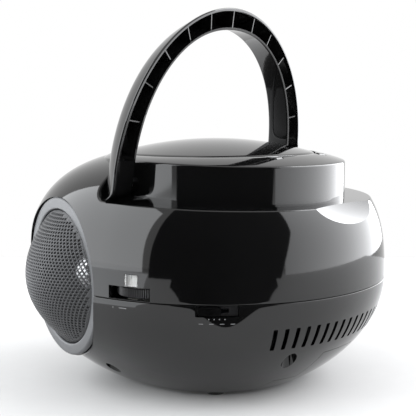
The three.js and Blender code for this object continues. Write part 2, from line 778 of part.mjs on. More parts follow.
const JACK = { y: 38, z: 56 };
const jackHole = () => bar(4.5, [-120, JACK.y, JACK.z], [-86, JACK.y, JACK.z], 20);
function audioJack() {
  const sleeve = bar(4.1, [-102, JACK.y, JACK.z], [-88, JACK.y, JACK.z], 20);
  return cut(sleeve, bar(1.8, [-106, JACK.y, JACK.z], [-90, JACK.y, JACK.z], 16));
}

// ---------------------------------------------------------------- electronics

const mainBoard = () => boxBetween([-62, -70, 38], [62, 20, 39.6]);
const transformer = () => {
  const core = boxBetween([-30, -62, 40], [8, -30, 68]);
  return joined(core, boxBetween([-25, -66, 43], [3, -26, 65]));
};
const ferriteRod = () => bar(4.5, [-40, 78, 84], [40, 78, 84], 20);
const antennaCoil = () => {
  const tube = bar(6.4, [-8, 78, 84], [10, 78, 84], 24);
  return cut(tube, bar(4.8, [-10, 78, 84], [12, 78, 84], 24));
};

// ---------------------------------------------------------------- handle

/** A point on a superelliptic arch; share runs from 0 at one foot to 1 at the other. */
function archPoint(arch, share) {
  const angle = Math.PI * share;
  const along = (value) => Math.sign(value) * Math.pow(Math.abs(value), 2 / arch.power);
  return [arch.half * along(Math.cos(angle)), HANDLE.springZ + arch.rise * along(Math.sin(angle))];
}

/** Blends from the inner arch (0) to the outer arch (1), at a distance behind the front edge. */
function handlePoint(share, outwards, back) {
  const inner = archPoint(HANDLE.inner, share);
  const outer = archPoint(HANDLE.outer, share);
  const x = inner[0] + (outer[0] - inner[0]) * outwards;
  const z = inner[1] + (outer[1] - inner[1]) * outwards;
  return [x, HANDLE.rearY - HANDLE.depth + back, z];
}

/** The handle's section: flat at the rear and inside, gently bulged outside. */
const HANDLE_SECTION = [[0, 0], [0.2, 0.3], [0.55, 5], [0.85, 11], [1, HANDLE.depth], [0, HANDLE.depth]];
const CHANNEL_SECTION = [[0.13, 9.5], [0.3, 4.4], [0.68, 10.5], [0.87, 20], [0.13, 20]];

function handleSweep(section, share0, share1, stations) {
  const rings = [];
  for (let i = 0; i <= stations; i += 1) {
    const share = share0 + ((share1 - share0) * i) / stations;
    rings.push(section.map(([outwards, back]) => handlePoint(share, outwards, back)));
  }
  return rings;
}

function handle() {
  const rings = handleSweep(HANDLE_SECTION, 0, 1, 26);
  const footRadius = HANDLE.depth / 2;
  const lowered = (ring) => ring.map(([x, y]) => [x, y, PIVOT.z - footRadius]);
  let arch = loft([lowered(rings[0]), ...rings, lowered(rings[rings.length - 1])]);
  const bays = HANDLE.ribCount + 1;
  for (let bay = 0; bay < bays; bay += 1) {
    const start = 0.03 + (bay * 0.94) / bays + 0.0035;
    const end = 0.03 + ((bay + 1) * 0.94) / bays - 0.0035;
    arch = cut(arch, loft(handleSweep(CHANNEL_SECTION, start, end, 1)));
  }
  // below the pivot each arm ends in a half round about it
  const belowPivot = boxBetween(
    [-110, PIVOT.y - 2 * footRadius, PIVOT.z - 2 * footRadius],
    [110, PIVOT.y + 2 * footRadius, PIVOT.z],
  );
  const halfRound = bar(footRadius, [-111, PIVOT.y, PIVOT.z], [111, PIVOT.y, PIVOT.z], 32);
  arch = cut(arch, cut(belowPivot, halfRound));
  for (const side of [1, -1]) {
    const bore = bar(HANDLE.pinRadius + 0.08, [80 * side, PIVOT.y, PIVOT.z],
      [(HANDLE.pinOuterX + 0.4) * side, PIVOT.y, PIVOT.z], 24);
    arch = cut(arch, bore);
  }
  return arch;
}

const handlePin = (side) =>
  bar(HANDLE.pinRadius, [67 * side, PIVOT.y, PIVOT.z], [HANDLE.pinOuterX * side, PIVOT.y, PIVOT.z], 24);

// ---------------------------------------------------------------- small hardware

function caseScrew(well) {
  const head = bar(3.4, [well.x, well.y, well.topZ - 2.6], [well.x, well.y, well.topZ - 0.3], 16);
  const shank = bar(1.5, [well.x, well.y, well.topZ - 1], [well.x, well.y, well.topZ + 8], 12);
  const slot = boxBetween(
    [well.x - 2.2, well.y - 0.4, well.topZ - 4],
    [well.x + 2.2, well.y + 0.4, well.topZ - 1.6],
  );
  return cut(joined(head, shank), slot);
}

const rubberFoot = (foot) => bar(5.5, [foot.x, foot.y, 0], [foot.x, foot.y, BODY.floorZ - PART_GAP], 20);

// ---------------------------------------------------------------- assembly

const player = new THREE.Group();
player.name = "cd_radio_player";

/** Adds one named piece to a group. */
function add(group, name, piece, material) {
  const mesh = new THREE.Mesh(toGeometry(piece), material);
  mesh.name = name;
  group.add(mesh);
  return mesh;
}

add(player, "upper_housing", upperHousing(), gloss(BLACK));
add(player, "lower_housing", lowerHousing(), gloss(BLACK));
add(player, "cd_well", cdWell(), satin(DARK));
add(player, "cd_lid", cdLid(), gloss(BLACK));
add(player, "cd_clamp", clamp(), satin(0xd8d8d6));
add(player, "clamp_holder", clampHolder(), satin(DARK));
add(player, "lid_key", lidKey(), gloss(BLACK));
add(player, "spindle_hub", spindleHub(), satin(DARK));
add(player, "spindle_motor", spindleMotor(), metal(STEEL));
add(player, "mechanism_plate", mechanismPlate(), metal(STEEL));
add(player, "laser_sled", laserSled(), satin(DARK));
add(player, "laser_lens", laserLens(), gloss(0x2a3550));
add(player, "battery_box", batteryBox(), satin(DARK));
add(player, "battery_door", batteryDoor(), gloss(BLACK));
add(player, "front_panel", frontPanel(), gloss(BLACK));
add(player, "display_window", displayWindow(), gloss(0x30343a));
add(player, "display_module", displayModule(), satin(0x8fa39a));
add(player, "key_board", keyBoard(), satin(BOARD));
add(player, "main_board", mainBoard(), satin(BOARD));
add(player, "power_transformer", transformer(), metal(0x6b6e74));
add(player, "ferrite_rod", ferriteRod(), satin(0x3b3836));
add(player, "antenna_coil", antennaCoil(), satin(0xb46a35));
add(player, "tuning_wheel", thumbwheel(1), satin(BLACK));
add(player, "tuning_scale", tuningScale(), satin(0xe6e4de));
add(player, "tuning_window", scalePane(), gloss(0xe8ecee));
add(player, "tuning_capacitor", wheelUnit(1), satin(0xcfd0cb));
add(player, "volume_wheel", thumbwheel(-1), satin(BLACK));
add(player, "volume_control", wheelUnit(-1), satin(0x8b6a3a));
add(player, "slider_plate", sliderPlate(), satin(BLACK));
add(player, "function_slider", sliderKnob(), gloss(BLACK));
add(player, "function_switch", slideSwitch(), metal(STEEL));
add(player, "power_inlet", powerInlet(), satin(DARK));
add(player, "audio_jack", audioJack(), satin(DARK));

KEY_NAMES.forEach((name, index) => add(player, name, frontKey(index), satin(SILVER)));

for (const [side, suffix] of [[1, "right"], [-1, "left"]]) {
  add(player, `speaker_ring_${suffix}`, speakerRing(side), satin(SILVER));
  add(player, `speaker_grille_${suffix}`, speakerGrille(side), satin(0x3a3b3e));
  add(player, `speaker_basket_${suffix}`, speakerBasket(side), metal(0x55585c));
  add(player, `speaker_cone_${suffix}`, speakerCone(side), satin(DARK));
  add(player, `speaker_cap_${suffix}`, speakerCap(side), metal(0xd5d8dc));
}

// The handle is drawn upright and then leaned back about its pivots.
const carrier = new THREE.Group();
carrier.position.set(0, PIVOT.y, PIVOT.z);
carrier.rotation.x = -THREE.MathUtils.degToRad(HANDLE.leanDeg);
player.add(carrier);
const grip = add(carrier, "handle", handle(), gloss(BLACK));
grip.position.set(0, -PIVOT.y, -PIVOT.z);
add(player, "handle_pin_right", handlePin(1), metal(STEEL));
add(player, "handle_pin_left", handlePin(-1), metal(STEEL));

for (const well of SCREW_WELLS) add(player, `case_screw_${well.name}`, caseScrew(well), metal(0x3c3d40));
for (const foot of FEET) add(player, `foot_${foot.name}`, rubberFoot(foot), satin(0x141414));

export default player;
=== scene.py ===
"""Fine meshes, procedural materials and studio light for a round CD and radio player.

Lengths are millimetres in the player's own frame (+Z up, front towards -Y) until a mesh
is made, and metres from then on.
"""

import json
from math import atan2, cos, hypot, pi, radians, sin, sqrt

import bmesh
import bpy
import numpy as np
from mathutils import Matrix, Vector
from mathutils.bvhtree import BVHTree


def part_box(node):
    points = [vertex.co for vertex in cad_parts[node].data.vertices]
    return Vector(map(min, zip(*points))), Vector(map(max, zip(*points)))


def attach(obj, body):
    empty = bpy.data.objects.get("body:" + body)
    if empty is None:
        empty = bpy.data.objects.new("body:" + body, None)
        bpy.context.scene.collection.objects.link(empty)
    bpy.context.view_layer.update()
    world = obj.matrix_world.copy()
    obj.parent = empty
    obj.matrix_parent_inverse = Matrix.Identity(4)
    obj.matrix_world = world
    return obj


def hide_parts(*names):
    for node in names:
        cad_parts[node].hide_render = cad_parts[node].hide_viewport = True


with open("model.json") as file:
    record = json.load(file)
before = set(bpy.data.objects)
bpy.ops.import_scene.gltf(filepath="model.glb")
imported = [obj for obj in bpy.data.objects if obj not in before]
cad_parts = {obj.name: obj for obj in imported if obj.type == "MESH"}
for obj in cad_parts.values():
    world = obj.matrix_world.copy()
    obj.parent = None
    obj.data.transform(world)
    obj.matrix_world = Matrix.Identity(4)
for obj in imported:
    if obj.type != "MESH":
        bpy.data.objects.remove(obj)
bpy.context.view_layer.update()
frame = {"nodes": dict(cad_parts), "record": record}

# ---------------------------------------------------------------- driving dimensions

MM = 0.001
WALL = 2.6
GAP = 0.3

HALF_WIDTH = 110
CENTRE_Y = 3.2
REAR_DEPTH, REAR_POWER = 109.4, 2.08
FRONT_DEPTH, FRONT_POWER = 115.6, 2.53
PARTING_Z = 67
FLOOR_Z = 1.5
BOWL_DEPTH, BOWL_POWER = 78.7, 1.88
DOME_HEIGHT, DOME_POWER = 83.6, 2.92

DECK_Z, DECK_SLOPE = 120.9, 0.032
DRUM_RADIUS, DRUM_Y, DRUM_TOP, DRUM_FALL = 77.9, 10.7, 144, 2.6
LID_RADIUS, LID_Y = 64, 4
LID_EDGE_Z, LID_RIM_Z, LID_APEX_Z = 143.9, 146.3, 155.2
LID_THICKNESS, WELL_FLOOR_Z = 2.4, 128
LID_HINGE_Y, LID_HINGE_Z, LUG_X = 68.1, 144.3, 25
SCOOP_RADIUS, SCOOP_STRETCH, SCOOP_Y, SCOOP_Z = 42, 2.3, 128.8, 143.5

HANDLE_REAR_Y, HANDLE_DEPTH, SPRING_Z = 3.4, 16, 136
OUTER_ARCH = (98.8, 103.6, 1.98)
INNER_ARCH = (83.2, 90.8, 2.12)
HANDLE_LEAN = radians(8.4)
PIN_RADIUS = 3.5
PIVOT_Y, PIVOT_Z = HANDLE_REAR_Y - HANDLE_DEPTH / 2, 130
RIB_COUNT, RIB_SHARE = 11, 0.0012

SPEAKER_AT = (90.1, -48.2, 71.2)
SPEAKER_AZIMUTH, SPEAKER_TILT = radians(68.5), radians(-2.5)
RING_OUTER, RING_INNER, GRILLE_BULGE = 49.2, 42, 21
POD_RADIUS, POD_CLEAR_RADIUS, BORE_RADIUS = 49.9, 49.6, 42.4
GRILLE_SHEET, HOLE_PITCH, HOLE_RADIUS = 0.7, 2.15, 0.68

WHEEL_X, WHEEL_Y, WHEEL_RADIUS = 87.4, 22.5, 20
WHEEL_Z, WHEEL_THICK = 68.7, 5.8
SLOT_Y, SLOT_Z = (9, 36), (67.8, 75.2)
WINDOW_Y, WINDOW_Z = (20, 28.7), (75.2, 82.4)
SCALE_RADIUS, SCALE_TICKS = 17.2, 36

SLIDER_AT, SLIDER_AZIMUTH = (88.2, 69.7, 63.6), radians(127)
RECESS_WIDTH, RECESS_HEIGHT, KNOB_WIDTH, KNOB_HEIGHT = 24.3, 6.6, 13.4, 5.2

VENT_COUNT, VENT_FIRST, VENT_LAST = 19, radians(145), radians(215)
VENT_Z, VENT_WIDTH = (38, 51.4), 2.7
SCREW_WELLS = {
    "front_right": (80, -15, 38),
    "front_left": (-80, -15, 38),
    "rear_right": (41.5, 87.5, 44),
    "rear_left": (-41.5, 87.5, 44),
}
DOOR_HALF, DOOR_FRONT, DOOR_SKIRT, LATCH_HALF, LATCH_Z = 33, -28, 12, 16.5, 30
PANEL_HALF, PANEL_Z, PANEL_CORNER = 46, (76, 117), 7
DISPLAY_HALF, DISPLAY_Z = 17, (97, 111)
KEY_RADIUS, KEY_Z, KEY_PITCH, KEY_PROUD, KEY_BACK_Y = 4.4, 87, 16, 0.95, -94.5

# (height, drawn in) levels of the round edge between the flanks and the underside
BASE_EDGE = [(FLOOR_Z, 1.6), (FLOOR_Z + 0.25, 0.8), (FLOOR_Z + 0.8, 0.25)]

RING_POINTS = 256

# The camera's place is in metres, its turn in degrees.
CAMERA_LENS, CAMERA_AT, CAMERA_TURN = 86.53, (0.5262, 0.3910, 0.1805), (83.78, 0, 126.78)


# ---------------------------------------------------------------- solids under construction

def linked(name, data):
    """A new object, placed in the scene."""
    made = bpy.data.objects.new(name, data)
    bpy.context.scene.collection.objects.link(made)
    return made


class Form:
    """A closed smooth surface that remembers the shading normal of each of its corners."""

    def __init__(self, mesh):
        mesh.calc_loop_triangles()
        corners = np.empty(len(mesh.loops) * 3, np.float32)
        mesh.corner_normals.foreach_get("vector", corners)
        corners = corners.reshape(-1, 3)
        points = np.empty(len(mesh.vertices) * 3, np.float32)
        mesh.vertices.foreach_get("co", points)
        self.points = points.reshape(-1, 3).astype(float)
        self.triangles = [tuple(t.vertices) for t in mesh.loop_triangles]
        self.normals = corners[[tuple(t.loops) for t in mesh.loop_triangles]].astype(float)
        self.tree = BVHTree.FromPolygons([tuple(p) for p in self.points], self.triangles)

    def normal_at(self, place):
        """The smooth normal at a point of the surface, blended within its triangle."""
        spot, _, index, _ = self.tree.find_nearest(place)
        a, b, c = (self.points[i] for i in self.triangles[index])
        ab, ac, ap = b - a, c - a, np.array(spot) - a
        d00, d01, d11 = ab @ ab, ab @ ac, ac @ ac
        d20, d21 = ap @ ab, ap @ ac
        scale = d00 * d11 - d01 * d01
        if scale < 1e-24:
            return None
        v = (d11 * d20 - d01 * d21) / scale
        w = (d00 * d21 - d01 * d20) / scale
        blended = np.array([1 - v - w, v, w]) @ self.normals[index]
        return blended / max(np.linalg.norm(blended), 1e-12)


class Solid:
    """A closed body that is cut and joined, and then shaded by the forms it was made of."""

    def __init__(self, points, faces, crease=32):
        mesh = bpy.data.meshes.new("solid")
        scaled = np.asarray(points, float) * MM
        mesh.from_pydata([tuple(p) for p in scaled], [], [tuple(f) for f in faces])
        mesh.validate()
        tidy(mesh)
        mesh.polygons.foreach_set("use_smooth", [True] * len(mesh.polygons))
        mesh.set_sharp_from_angle(angle=radians(crease))
        self.object = linked("solid", mesh)
        self.forms = [(Form(mesh), 1)]

    def combine(self, others, operation, sign):
        for other in others:
            step = self.object.modifiers.new("step", "BOOLEAN")
            step.operation = operation
            step.solver = "MANIFOLD"
            step.object = other.object
            graph = bpy.context.evaluated_depsgraph_get()
            done = bpy.data.meshes.new_from_object(self.object.evaluated_get(graph))
            self.object.modifiers.clear()
            self.object.data = done
            self.forms += [(form, sign * way) for form, way in other.forms]
            bpy.data.objects.remove(other.object)
        return self

    def join(self, *others):
        return self.combine(others, "UNION", 1)

    def cut(self, *others):
        return self.combine(others, "DIFFERENCE", -1)

    def keep(self, *others):
        return self.combine(others, "INTERSECT", 1)


def tidy(mesh, weld=1e-7, thin=1e-7):
    """Welds points closer than weld, drops thin faces and turns every face outwards."""
    work = bmesh.new()
    work.from_mesh(mesh)
    bmesh.ops.remove_doubles(work, verts=work.verts, dist=weld)
    bmesh.ops.dissolve_degenerate(work, edges=work.edges, dist=thin)
    bmesh.ops.recalc_face_normals(work, faces=work.faces)
    work.to_mesh(mesh)
    work.free()


def shade_by_forms(mesh, forms):
    """Gives each face the smooth normals of the form that it lies on."""
    near = 0.02 * MM
    points = [v.co.copy() for v in mesh.vertices]
    normals = [None] * len(mesh.loops)
    recent = list(forms)
    for face in mesh.polygons:
        face.use_smooth = True
        found = None
        for entry in recent:
            form, sign = entry
            spot, flat, _, _ = form.tree.find_nearest(face.center, near)
            if spot is not None and sign * flat.dot(face.normal) > 0.9:
                found = entry
                break
        for loop in face.loop_indices:
            normal = None
            if found:
                corner = points[mesh.loops[loop].vertex_index]
                normal = found[0].normal_at(corner.lerp(face.center, 0.02))
            if normal is None:
                normals[loop] = face.normal.copy()
            else:
                normals[loop] = Vector(normal * found[1])
        if found and recent[0] is not found:
            recent.remove(found)
            recent.insert(0, found)
    mesh.normals_split_custom_set(normals)


def place(piece, name, body, slot, *nodes):
    """Names a finished object, paints it, and ties it to its body, slot and CAD nodes."""
    piece.name = name
    piece.data.name = name
    piece.data.materials.clear()
    piece.data.materials.append(MATERIALS[slot])
    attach(piece, body)
    if nodes:
        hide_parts(*nodes)
    return piece


def settle(solid, name, body, slot, *nodes):
    shade_by_forms(solid.object.data, solid.forms)
    return place(solid.object, name, body, slot, *nodes)


# ---------------------------------------------------------------- shapes

def loft(rings, closed=False, crease=32):
    """A closed skin through rings of points; closed joins the last ring to the first."""
    rings = [np.asarray(r, float) for r in rings]
    count = len(rings[0])
    levels = len(rings)
    faces = []
    for level in range(levels if closed else levels - 1):
        low = level * count
        high = ((level + 1) % levels) * count
        for i in range(count):
            j = (i + 1) % count
            faces.append((low + i, low + j, high + j, high + i))
    if not closed:
        faces.append(tuple(range(count))[::-1])
        faces.append(tuple(range((levels - 1) * count, levels * count)))
    return Solid(np.concatenate(rings), faces, crease)


def box(low, high, turn=None):
    """A box, optionally moved by a matrix."""
    corners = [(low[0], low[1]), (high[0], low[1]), (high[0], high[1]), (low[0], high[1])]
    rings = [[(x, y, z) for x, y in corners] for z in (low[2], high[2])]
    if turn is not None:
        rings = [[tuple(turn @ Vector(p)) for p in ring] for ring in rings]
    return loft(rings)


def rounded_outline(a0, a1, b0, b1, corner, steps=6):
    """A rectangle with round corners, as (a, b) pairs."""
    outline = []
    centres = ((a1, b1, -1, -1), (a0, b1, 1, -1), (a0, b0, 1, 1), (a1, b0, -1, 1))
    for quarter, (a, b, side_a, side_b) in enumerate(centres):
        for step in range(steps + 1):
            angle = (quarter + step / steps) * pi / 2
            outline.append((
                a + side_a * corner + corner * cos(angle),
                b + side_b * corner + corner * sin(angle),
            ))
    return outline


def turned(profile, matrix=None, count=96, crease=32):
    """A body turned about +Z from a closed [radius, z] profile, then moved by a matrix."""
    rings = []
    for step in range(count):
        angle = 2 * pi * step / count
        ring = [Vector((r * cos(angle), r * sin(angle), z)) for r, z in profile]
        if matrix is not None:
            ring = [matrix @ p for p in ring]
        rings.append([tuple(p) for p in ring])
    return loft(rings, closed=True, crease=crease)


def cylinder(radius, start, end, count=64):
    """A round bar between two points."""
    start, end = Vector(start), Vector(end)
    turn = (end - start).to_track_quat("Z", "Y").to_matrix().to_4x4()
    matrix = Matrix.Translation(start) @ turn
    height = (end - start).length
    rings = []
    for z in (0, height):
        angles = [2 * pi * i / count for i in range(count)]
        rings.append([tuple(matrix @ Vector((radius * cos(a), radius * sin(a), z))) for a in angles])
    return loft(rings)


def quarter(centre_r, centre_z, radius, first, last, steps=5):
    """Points of a small arc in a profile; angles in degrees, 0 outwards and 90 upwards."""
    angles = np.radians(np.linspace(first, last, steps + 1))
    return [(centre_r + radius * cos(a), centre_z + radius * sin(a)) for a in angles]


def node_box(node):
    """A CAD node's lowest and highest corners in millimetres."""
    return [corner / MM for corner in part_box(node)]


# ---------------------------------------------------------------- the body's form

def width_factor(z, inset=0):
    """How wide the body is at a height, as a share of its widest outline."""
    above = z - PARTING_Z
    reach, power = (BOWL_DEPTH, BOWL_POWER) if above < 0 else (DOME_HEIGHT, DOME_POWER)
    rest = 1 - (abs(above) / (reach - inset)) ** power
    return max(rest, 1e-4) ** (1 / power)


def body_ring(z, inset=0, drawn_in=0, count=RING_POINTS):
    """The body's outline at a height; drawn_in narrows it level by level for round edges."""
    factor = width_factor(z, inset)
    angles = np.linspace(0, 2 * pi, count, endpoint=False)
    across, along = np.cos(angles), np.sin(angles)
    rear = along >= 0
    power = np.where(rear, REAR_POWER, FRONT_POWER)
    depth = np.where(rear, REAR_DEPTH, FRONT_DEPTH) - inset
    width = factor * (HALF_WIDTH - inset) - drawn_in
    depth = factor * depth - drawn_in
    reach = (np.abs(across / width) ** power + np.abs(along / depth) ** power) ** (-1 / power)
    return np.stack([reach * across, CENTRE_Y + reach * along, np.full(count, float(z))], 1)


def body_form(levels, inset=0):
    """The body through (height, drawn in) levels."""
    return loft([body_ring(z, inset, drawn) for z, drawn in levels], crease=60)


def plan_shape(z, rear):
    """Half width, depth and power of the outline at a height, in its rear or front half."""
    factor = width_factor(z)
    if rear:
        return factor * HALF_WIDTH, factor * REAR_DEPTH, REAR_POWER
    return factor * HALF_WIDTH, factor * FRONT_DEPTH, FRONT_POWER


def side_x(y, z):
    """How far out the body's right flank is at a depth and height."""
    width, depth, power = plan_shape(z, y >= CENTRE_Y)
    rest = 1 - (abs(y - CENTRE_Y) / depth) ** power
    return width * max(rest, 0) ** (1 / power)


def front_y(x, z):
    """Where the body's front wall is."""
    width, depth, power = plan_shape(z, rear=False)
    rest = 1 - abs(x / width) ** power
    return CENTRE_Y - depth * rest ** (1 / power)


def surface_point(azimuth, z):
    """The body's surface in a direction seen from above, 0 at the front, 90 at the right."""
    dx, dy = sin(azimuth), -cos(azimuth)
    width, depth, power = plan_shape(z, dy >= 0)
    reach = (abs(dx / width) ** power + abs(dy / depth) ** power) ** (-1 / power)
    return Vector((reach * dx, CENTRE_Y + reach * dy, z))


def surface_normal(point):
    """The outward normal of the body's form near a point."""
    def level(x, y, z):
        width, depth, power = plan_shape(z, y >= CENTRE_Y)
        return abs(x / width) ** power + abs((y - CENTRE_Y) / depth) ** power

    x, y, z = point
    step = 0.01
    slope = Vector((
        level(x + step, y, z) - level(x - step, y, z),
        level(x, y + step, z) - level(x, y - step, z),
        level(x, y, z + step) - level(x, y, z - step),
    ))
    return slope.normalized()


def heights(low, high, count):
    """Levels from low to high, closer together near both ends."""
    shares = (1 - np.cos(np.linspace(0, pi, count))) / 2
    return [low + (high - low) * s for s in shares]


def round_edge(points, first, second, radius, closed=False):
    """A cutter that rounds the edge where two surfaces with these outward normals meet."""
    rings = []
    for point, n1, n2 in zip(points, first, second):
        n1, n2 = n1.normalized(), n2.normalized()
        centre = point - (n1 + n2) * (radius / (1 + n1.dot(n2)))
        ring = [point + (n1 + n2).normalized() * radius]
        ring.append(centre + n1 * radius * 1.6)
        for step in range(9):
            share = step / 8
            arm = n1.slerp(n2, share) if n1.angle(n2) > 1e-3 else n1
            ring.append(centre + arm * radius)
        ring.append(centre + n2 * radius * 1.6)
        rings.append([tuple(p) for p in ring])
    return loft(rings, closed=closed, crease=40)


# ---------------------------------------------------------------- materials

def shader(name, colour, roughness, metallic=0.0, coat=0.0, specular=0.5):
    """A principled material whose constant values sit on the shader itself."""
    made = bpy.data.materials.new(name)
    made.use_nodes = True
    surface = made.node_tree.nodes["Principled BSDF"]
    surface.inputs["Base Color"].default_value = (*colour, 1)
    surface.inputs["Roughness"].default_value = roughness
    surface.inputs["Metallic"].default_value = metallic
    surface.inputs["Coat Weight"].default_value = coat
    surface.inputs["Specular IOR Level"].default_value = specular
    return made, made.node_tree, surface


def noise(tree, scale, detail=3.0, stretch=(1, 1, 1)):
    """A noise texture in the object's own space, in cycles per metre."""
    where = tree.nodes.new("ShaderNodeTexCoord")
    sized = tree.nodes.new("ShaderNodeMapping")
    sized.inputs["Scale"].default_value = stretch
    grain = tree.nodes.new("ShaderNodeTexNoise")
    grain.inputs["Scale"].default_value = scale
    grain.inputs["Detail"].default_value = detail
    tree.links.new(where.outputs["Object"], sized.inputs["Vector"])
    tree.links.new(sized.outputs["Vector"], grain.inputs["Vector"])
    return grain.outputs["Fac"]


def vary_colour(tree, surface, source, low, high):
    ramp = tree.nodes.new("ShaderNodeValToRGB")
    ramp.color_ramp.elements[0].position = 0.3
    ramp.color_ramp.elements[1].position = 0.7
    ramp.color_ramp.elements[0].color = (*low, 1)
    ramp.color_ramp.elements[1].color = (*high, 1)
    tree.links.new(source, ramp.inputs["Fac"])
    tree.links.new(ramp.outputs["Color"], surface.inputs["Base Color"])


def vary_roughness(tree, surface, source, low, high):
    spread = tree.nodes.new("ShaderNodeMapRange")
    spread.inputs["To Min"].default_value = low
    spread.inputs["To Max"].default_value = high
    tree.links.new(source, spread.inputs["Value"])
    tree.links.new(spread.outputs["Result"], surface.inputs["Roughness"])


def relief(tree, surface, source, strength, depth_mm):
    bump = tree.nodes.new("ShaderNodeBump")
    bump.inputs["Strength"].default_value = strength
    bump.inputs["Distance"].default_value = depth_mm * MM
    tree.links.new(source, bump.inputs["Height"])
    tree.links.new(bump.outputs["Normal"], surface.inputs["Normal"])


def moulded(name, colour, roughness, spread=0.3, grain=900, strength=0.15, depth=0.02,
            metallic=0.0, coat=0.0, stretch=(1, 1, 1), tone=0.15):
    """A moulded, painted, rolled or sintered surface with its own grain and tone."""
    made, tree, surface = shader(name, colour, roughness, metallic, coat)
    broad = noise(tree, 28, 4)
    fine = noise(tree, grain, 4, stretch)
    low = [c * (1 - tone) for c in colour]
    high = [min(1, c * (1 + tone)) for c in colour]
    vary_colour(tree, surface, broad, low, high)
    vary_roughness(tree, surface, fine, roughness * (1 - spread), roughness * (1 + spread))
    relief(tree, surface, fine, strength, depth)
    return made


def glossy(name, colour):
    """Mirror-gloss moulded plastic: faint handling haze and the slightest mould ripple."""
    made, tree, surface = shader(name, colour, 0.05, specular=0.5)
    haze = noise(tree, 14, 5)
    vary_colour(tree, surface, haze, [c * 0.8 for c in colour], [c * 1.25 for c in colour])
    vary_roughness(tree, surface, haze, 0.035, 0.075)
    relief(tree, surface, noise(tree, 60, 2), 0.03, 0.05)
    return made


def clear(name, tint, roughness=0.03):
    """Clear moulded plastic or coated glass."""
    made, tree, surface = shader(name, tint, roughness)
    surface.inputs["Transmission Weight"].default_value = 1.0
    surface.inputs["IOR"].default_value = 1.49
    haze = noise(tree, 40, 4)
    vary_roughness(tree, surface, haze, roughness * 0.6, roughness * 1.6)
    vary_colour(tree, surface, haze, [c * 0.96 for c in tint], tint)
    return made


def liquid_crystal(name):
    """A grey-green segment display with faint horizontal lines."""
    made, tree, surface = shader(name, (0.30, 0.36, 0.33), 0.25)
    lines = noise(tree, 300, 1, (0.05, 1, 6))
    vary_colour(tree, surface, lines, (0.25, 0.31, 0.28), (0.33, 0.39, 0.36))
    vary_roughness(tree, surface, noise(tree, 500), 0.2, 0.35)
    return made


def wound(name):
    """Fine enamelled wire wound side by side."""
    made, tree, surface = shader(name, (0.62, 0.28, 0.12), 0.3, metallic=0.7)
    where = tree.nodes.new("ShaderNodeTexCoord")
    turns = tree.nodes.new("ShaderNodeTexWave")
    turns.inputs["Scale"].default_value = 450
    tree.links.new(where.outputs["Object"], turns.inputs["Vector"])
    vary_colour(tree, surface, turns.outputs["Fac"], (0.30, 0.12, 0.05), (0.68, 0.32, 0.14))
    relief(tree, surface, turns.outputs["Fac"], 0.6, 0.15)
    return made


MATERIALS = {
    "gloss_black": glossy("gloss_black", (0.0035, 0.0035, 0.0036)),
    "satin_black": moulded("satin_black", (0.012, 0.012, 0.013), 0.38),
    "dark_plastic": moulded("dark_plastic", (0.03, 0.03, 0.032), 0.45),
    "white_plastic": moulded("white_plastic", (0.78, 0.77, 0.73), 0.4, tone=0.04),
    "silver_plastic": moulded("silver_plastic", (0.09, 0.093, 0.098), 0.42, grain=3200,
                              strength=0.25, depth=0.012, metallic=0.2, tone=0.05),
    "grille_metal": moulded("grille_metal", (0.05, 0.051, 0.054), 0.42, grain=2600,
                            strength=0.25, depth=0.02, metallic=0.35),
    "plated_steel": moulded("plated_steel", (0.62, 0.63, 0.65), 0.3, metallic=1.0,
                            stretch=(1, 12, 1), tone=0.08),
    "dark_steel": moulded("dark_steel", (0.12, 0.12, 0.13), 0.4, metallic=0.9),
    "black_cone": moulded("black_cone", (0.02, 0.02, 0.021), 0.85, grain=1500,
                          strength=0.6, depth=0.08),
    "cap_aluminium": moulded("cap_aluminium", (0.86, 0.87, 0.89), 0.3, metallic=1.0, tone=0.04),
    "clear_window": clear("clear_window", (0.94, 0.95, 0.96)),
    "lens_glass": clear("lens_glass", (0.35, 0.42, 0.65)),
    "display_glass": liquid_crystal("display_glass"),
    "circuit_board": moulded("circuit_board", (0.03, 0.16, 0.07), 0.3, grain=260, strength=0.5,
                             depth=0.08),
    "resin_board": moulded("resin_board", (0.30, 0.17, 0.07), 0.6, grain=300, tone=0.2),
    "ferrite": moulded("ferrite", (0.05, 0.045, 0.04), 0.6, grain=1400, strength=0.4),
    "copper_wire": wound("copper_wire"),
    "foot_rubber": moulded("foot_rubber", (0.02, 0.02, 0.02), 0.8, grain=700, strength=0.5,
                           depth=0.06),
}
PRINT_WHITE = moulded("print_white", (0.16, 0.163, 0.166), 0.5, tone=0.06)


# ---------------------------------------------------------------- loudspeaker frame

def speaker_matrix(side):
    """Moves a piece built about +Z, front at z = 0, to a loudspeaker's place."""
    azimuth = SPEAKER_AZIMUTH * side
    normal = Vector((
        sin(azimuth) * cos(SPEAKER_TILT),
        -cos(azimuth) * cos(SPEAKER_TILT),
        sin(SPEAKER_TILT),
    ))
    across = Vector((cos(azimuth), sin(azimuth), 0))
    turn = Matrix((across, normal.cross(across), normal)).transposed().to_4x4()
    x, y, z = SPEAKER_AT
    return Matrix.Translation((x * side, y, z)) @ turn


def speaker_disc(side, radius, back, front, count=128):
    profile = [(0.001, back), (radius, back), (radius, front), (0.001, front)]
    return turned(profile, speaker_matrix(side), count)


# ---------------------------------------------------------------- the two housings

def drum(inset, low, high):
    return cylinder(DRUM_RADIUS - inset, (0, DRUM_Y, low), (0, DRUM_Y, high), 192)


def deck_z(y):
    """The deck's height, which falls a little towards the rear."""
    return DECK_Z - DECK_SLOPE * (y - PIVOT_Y)


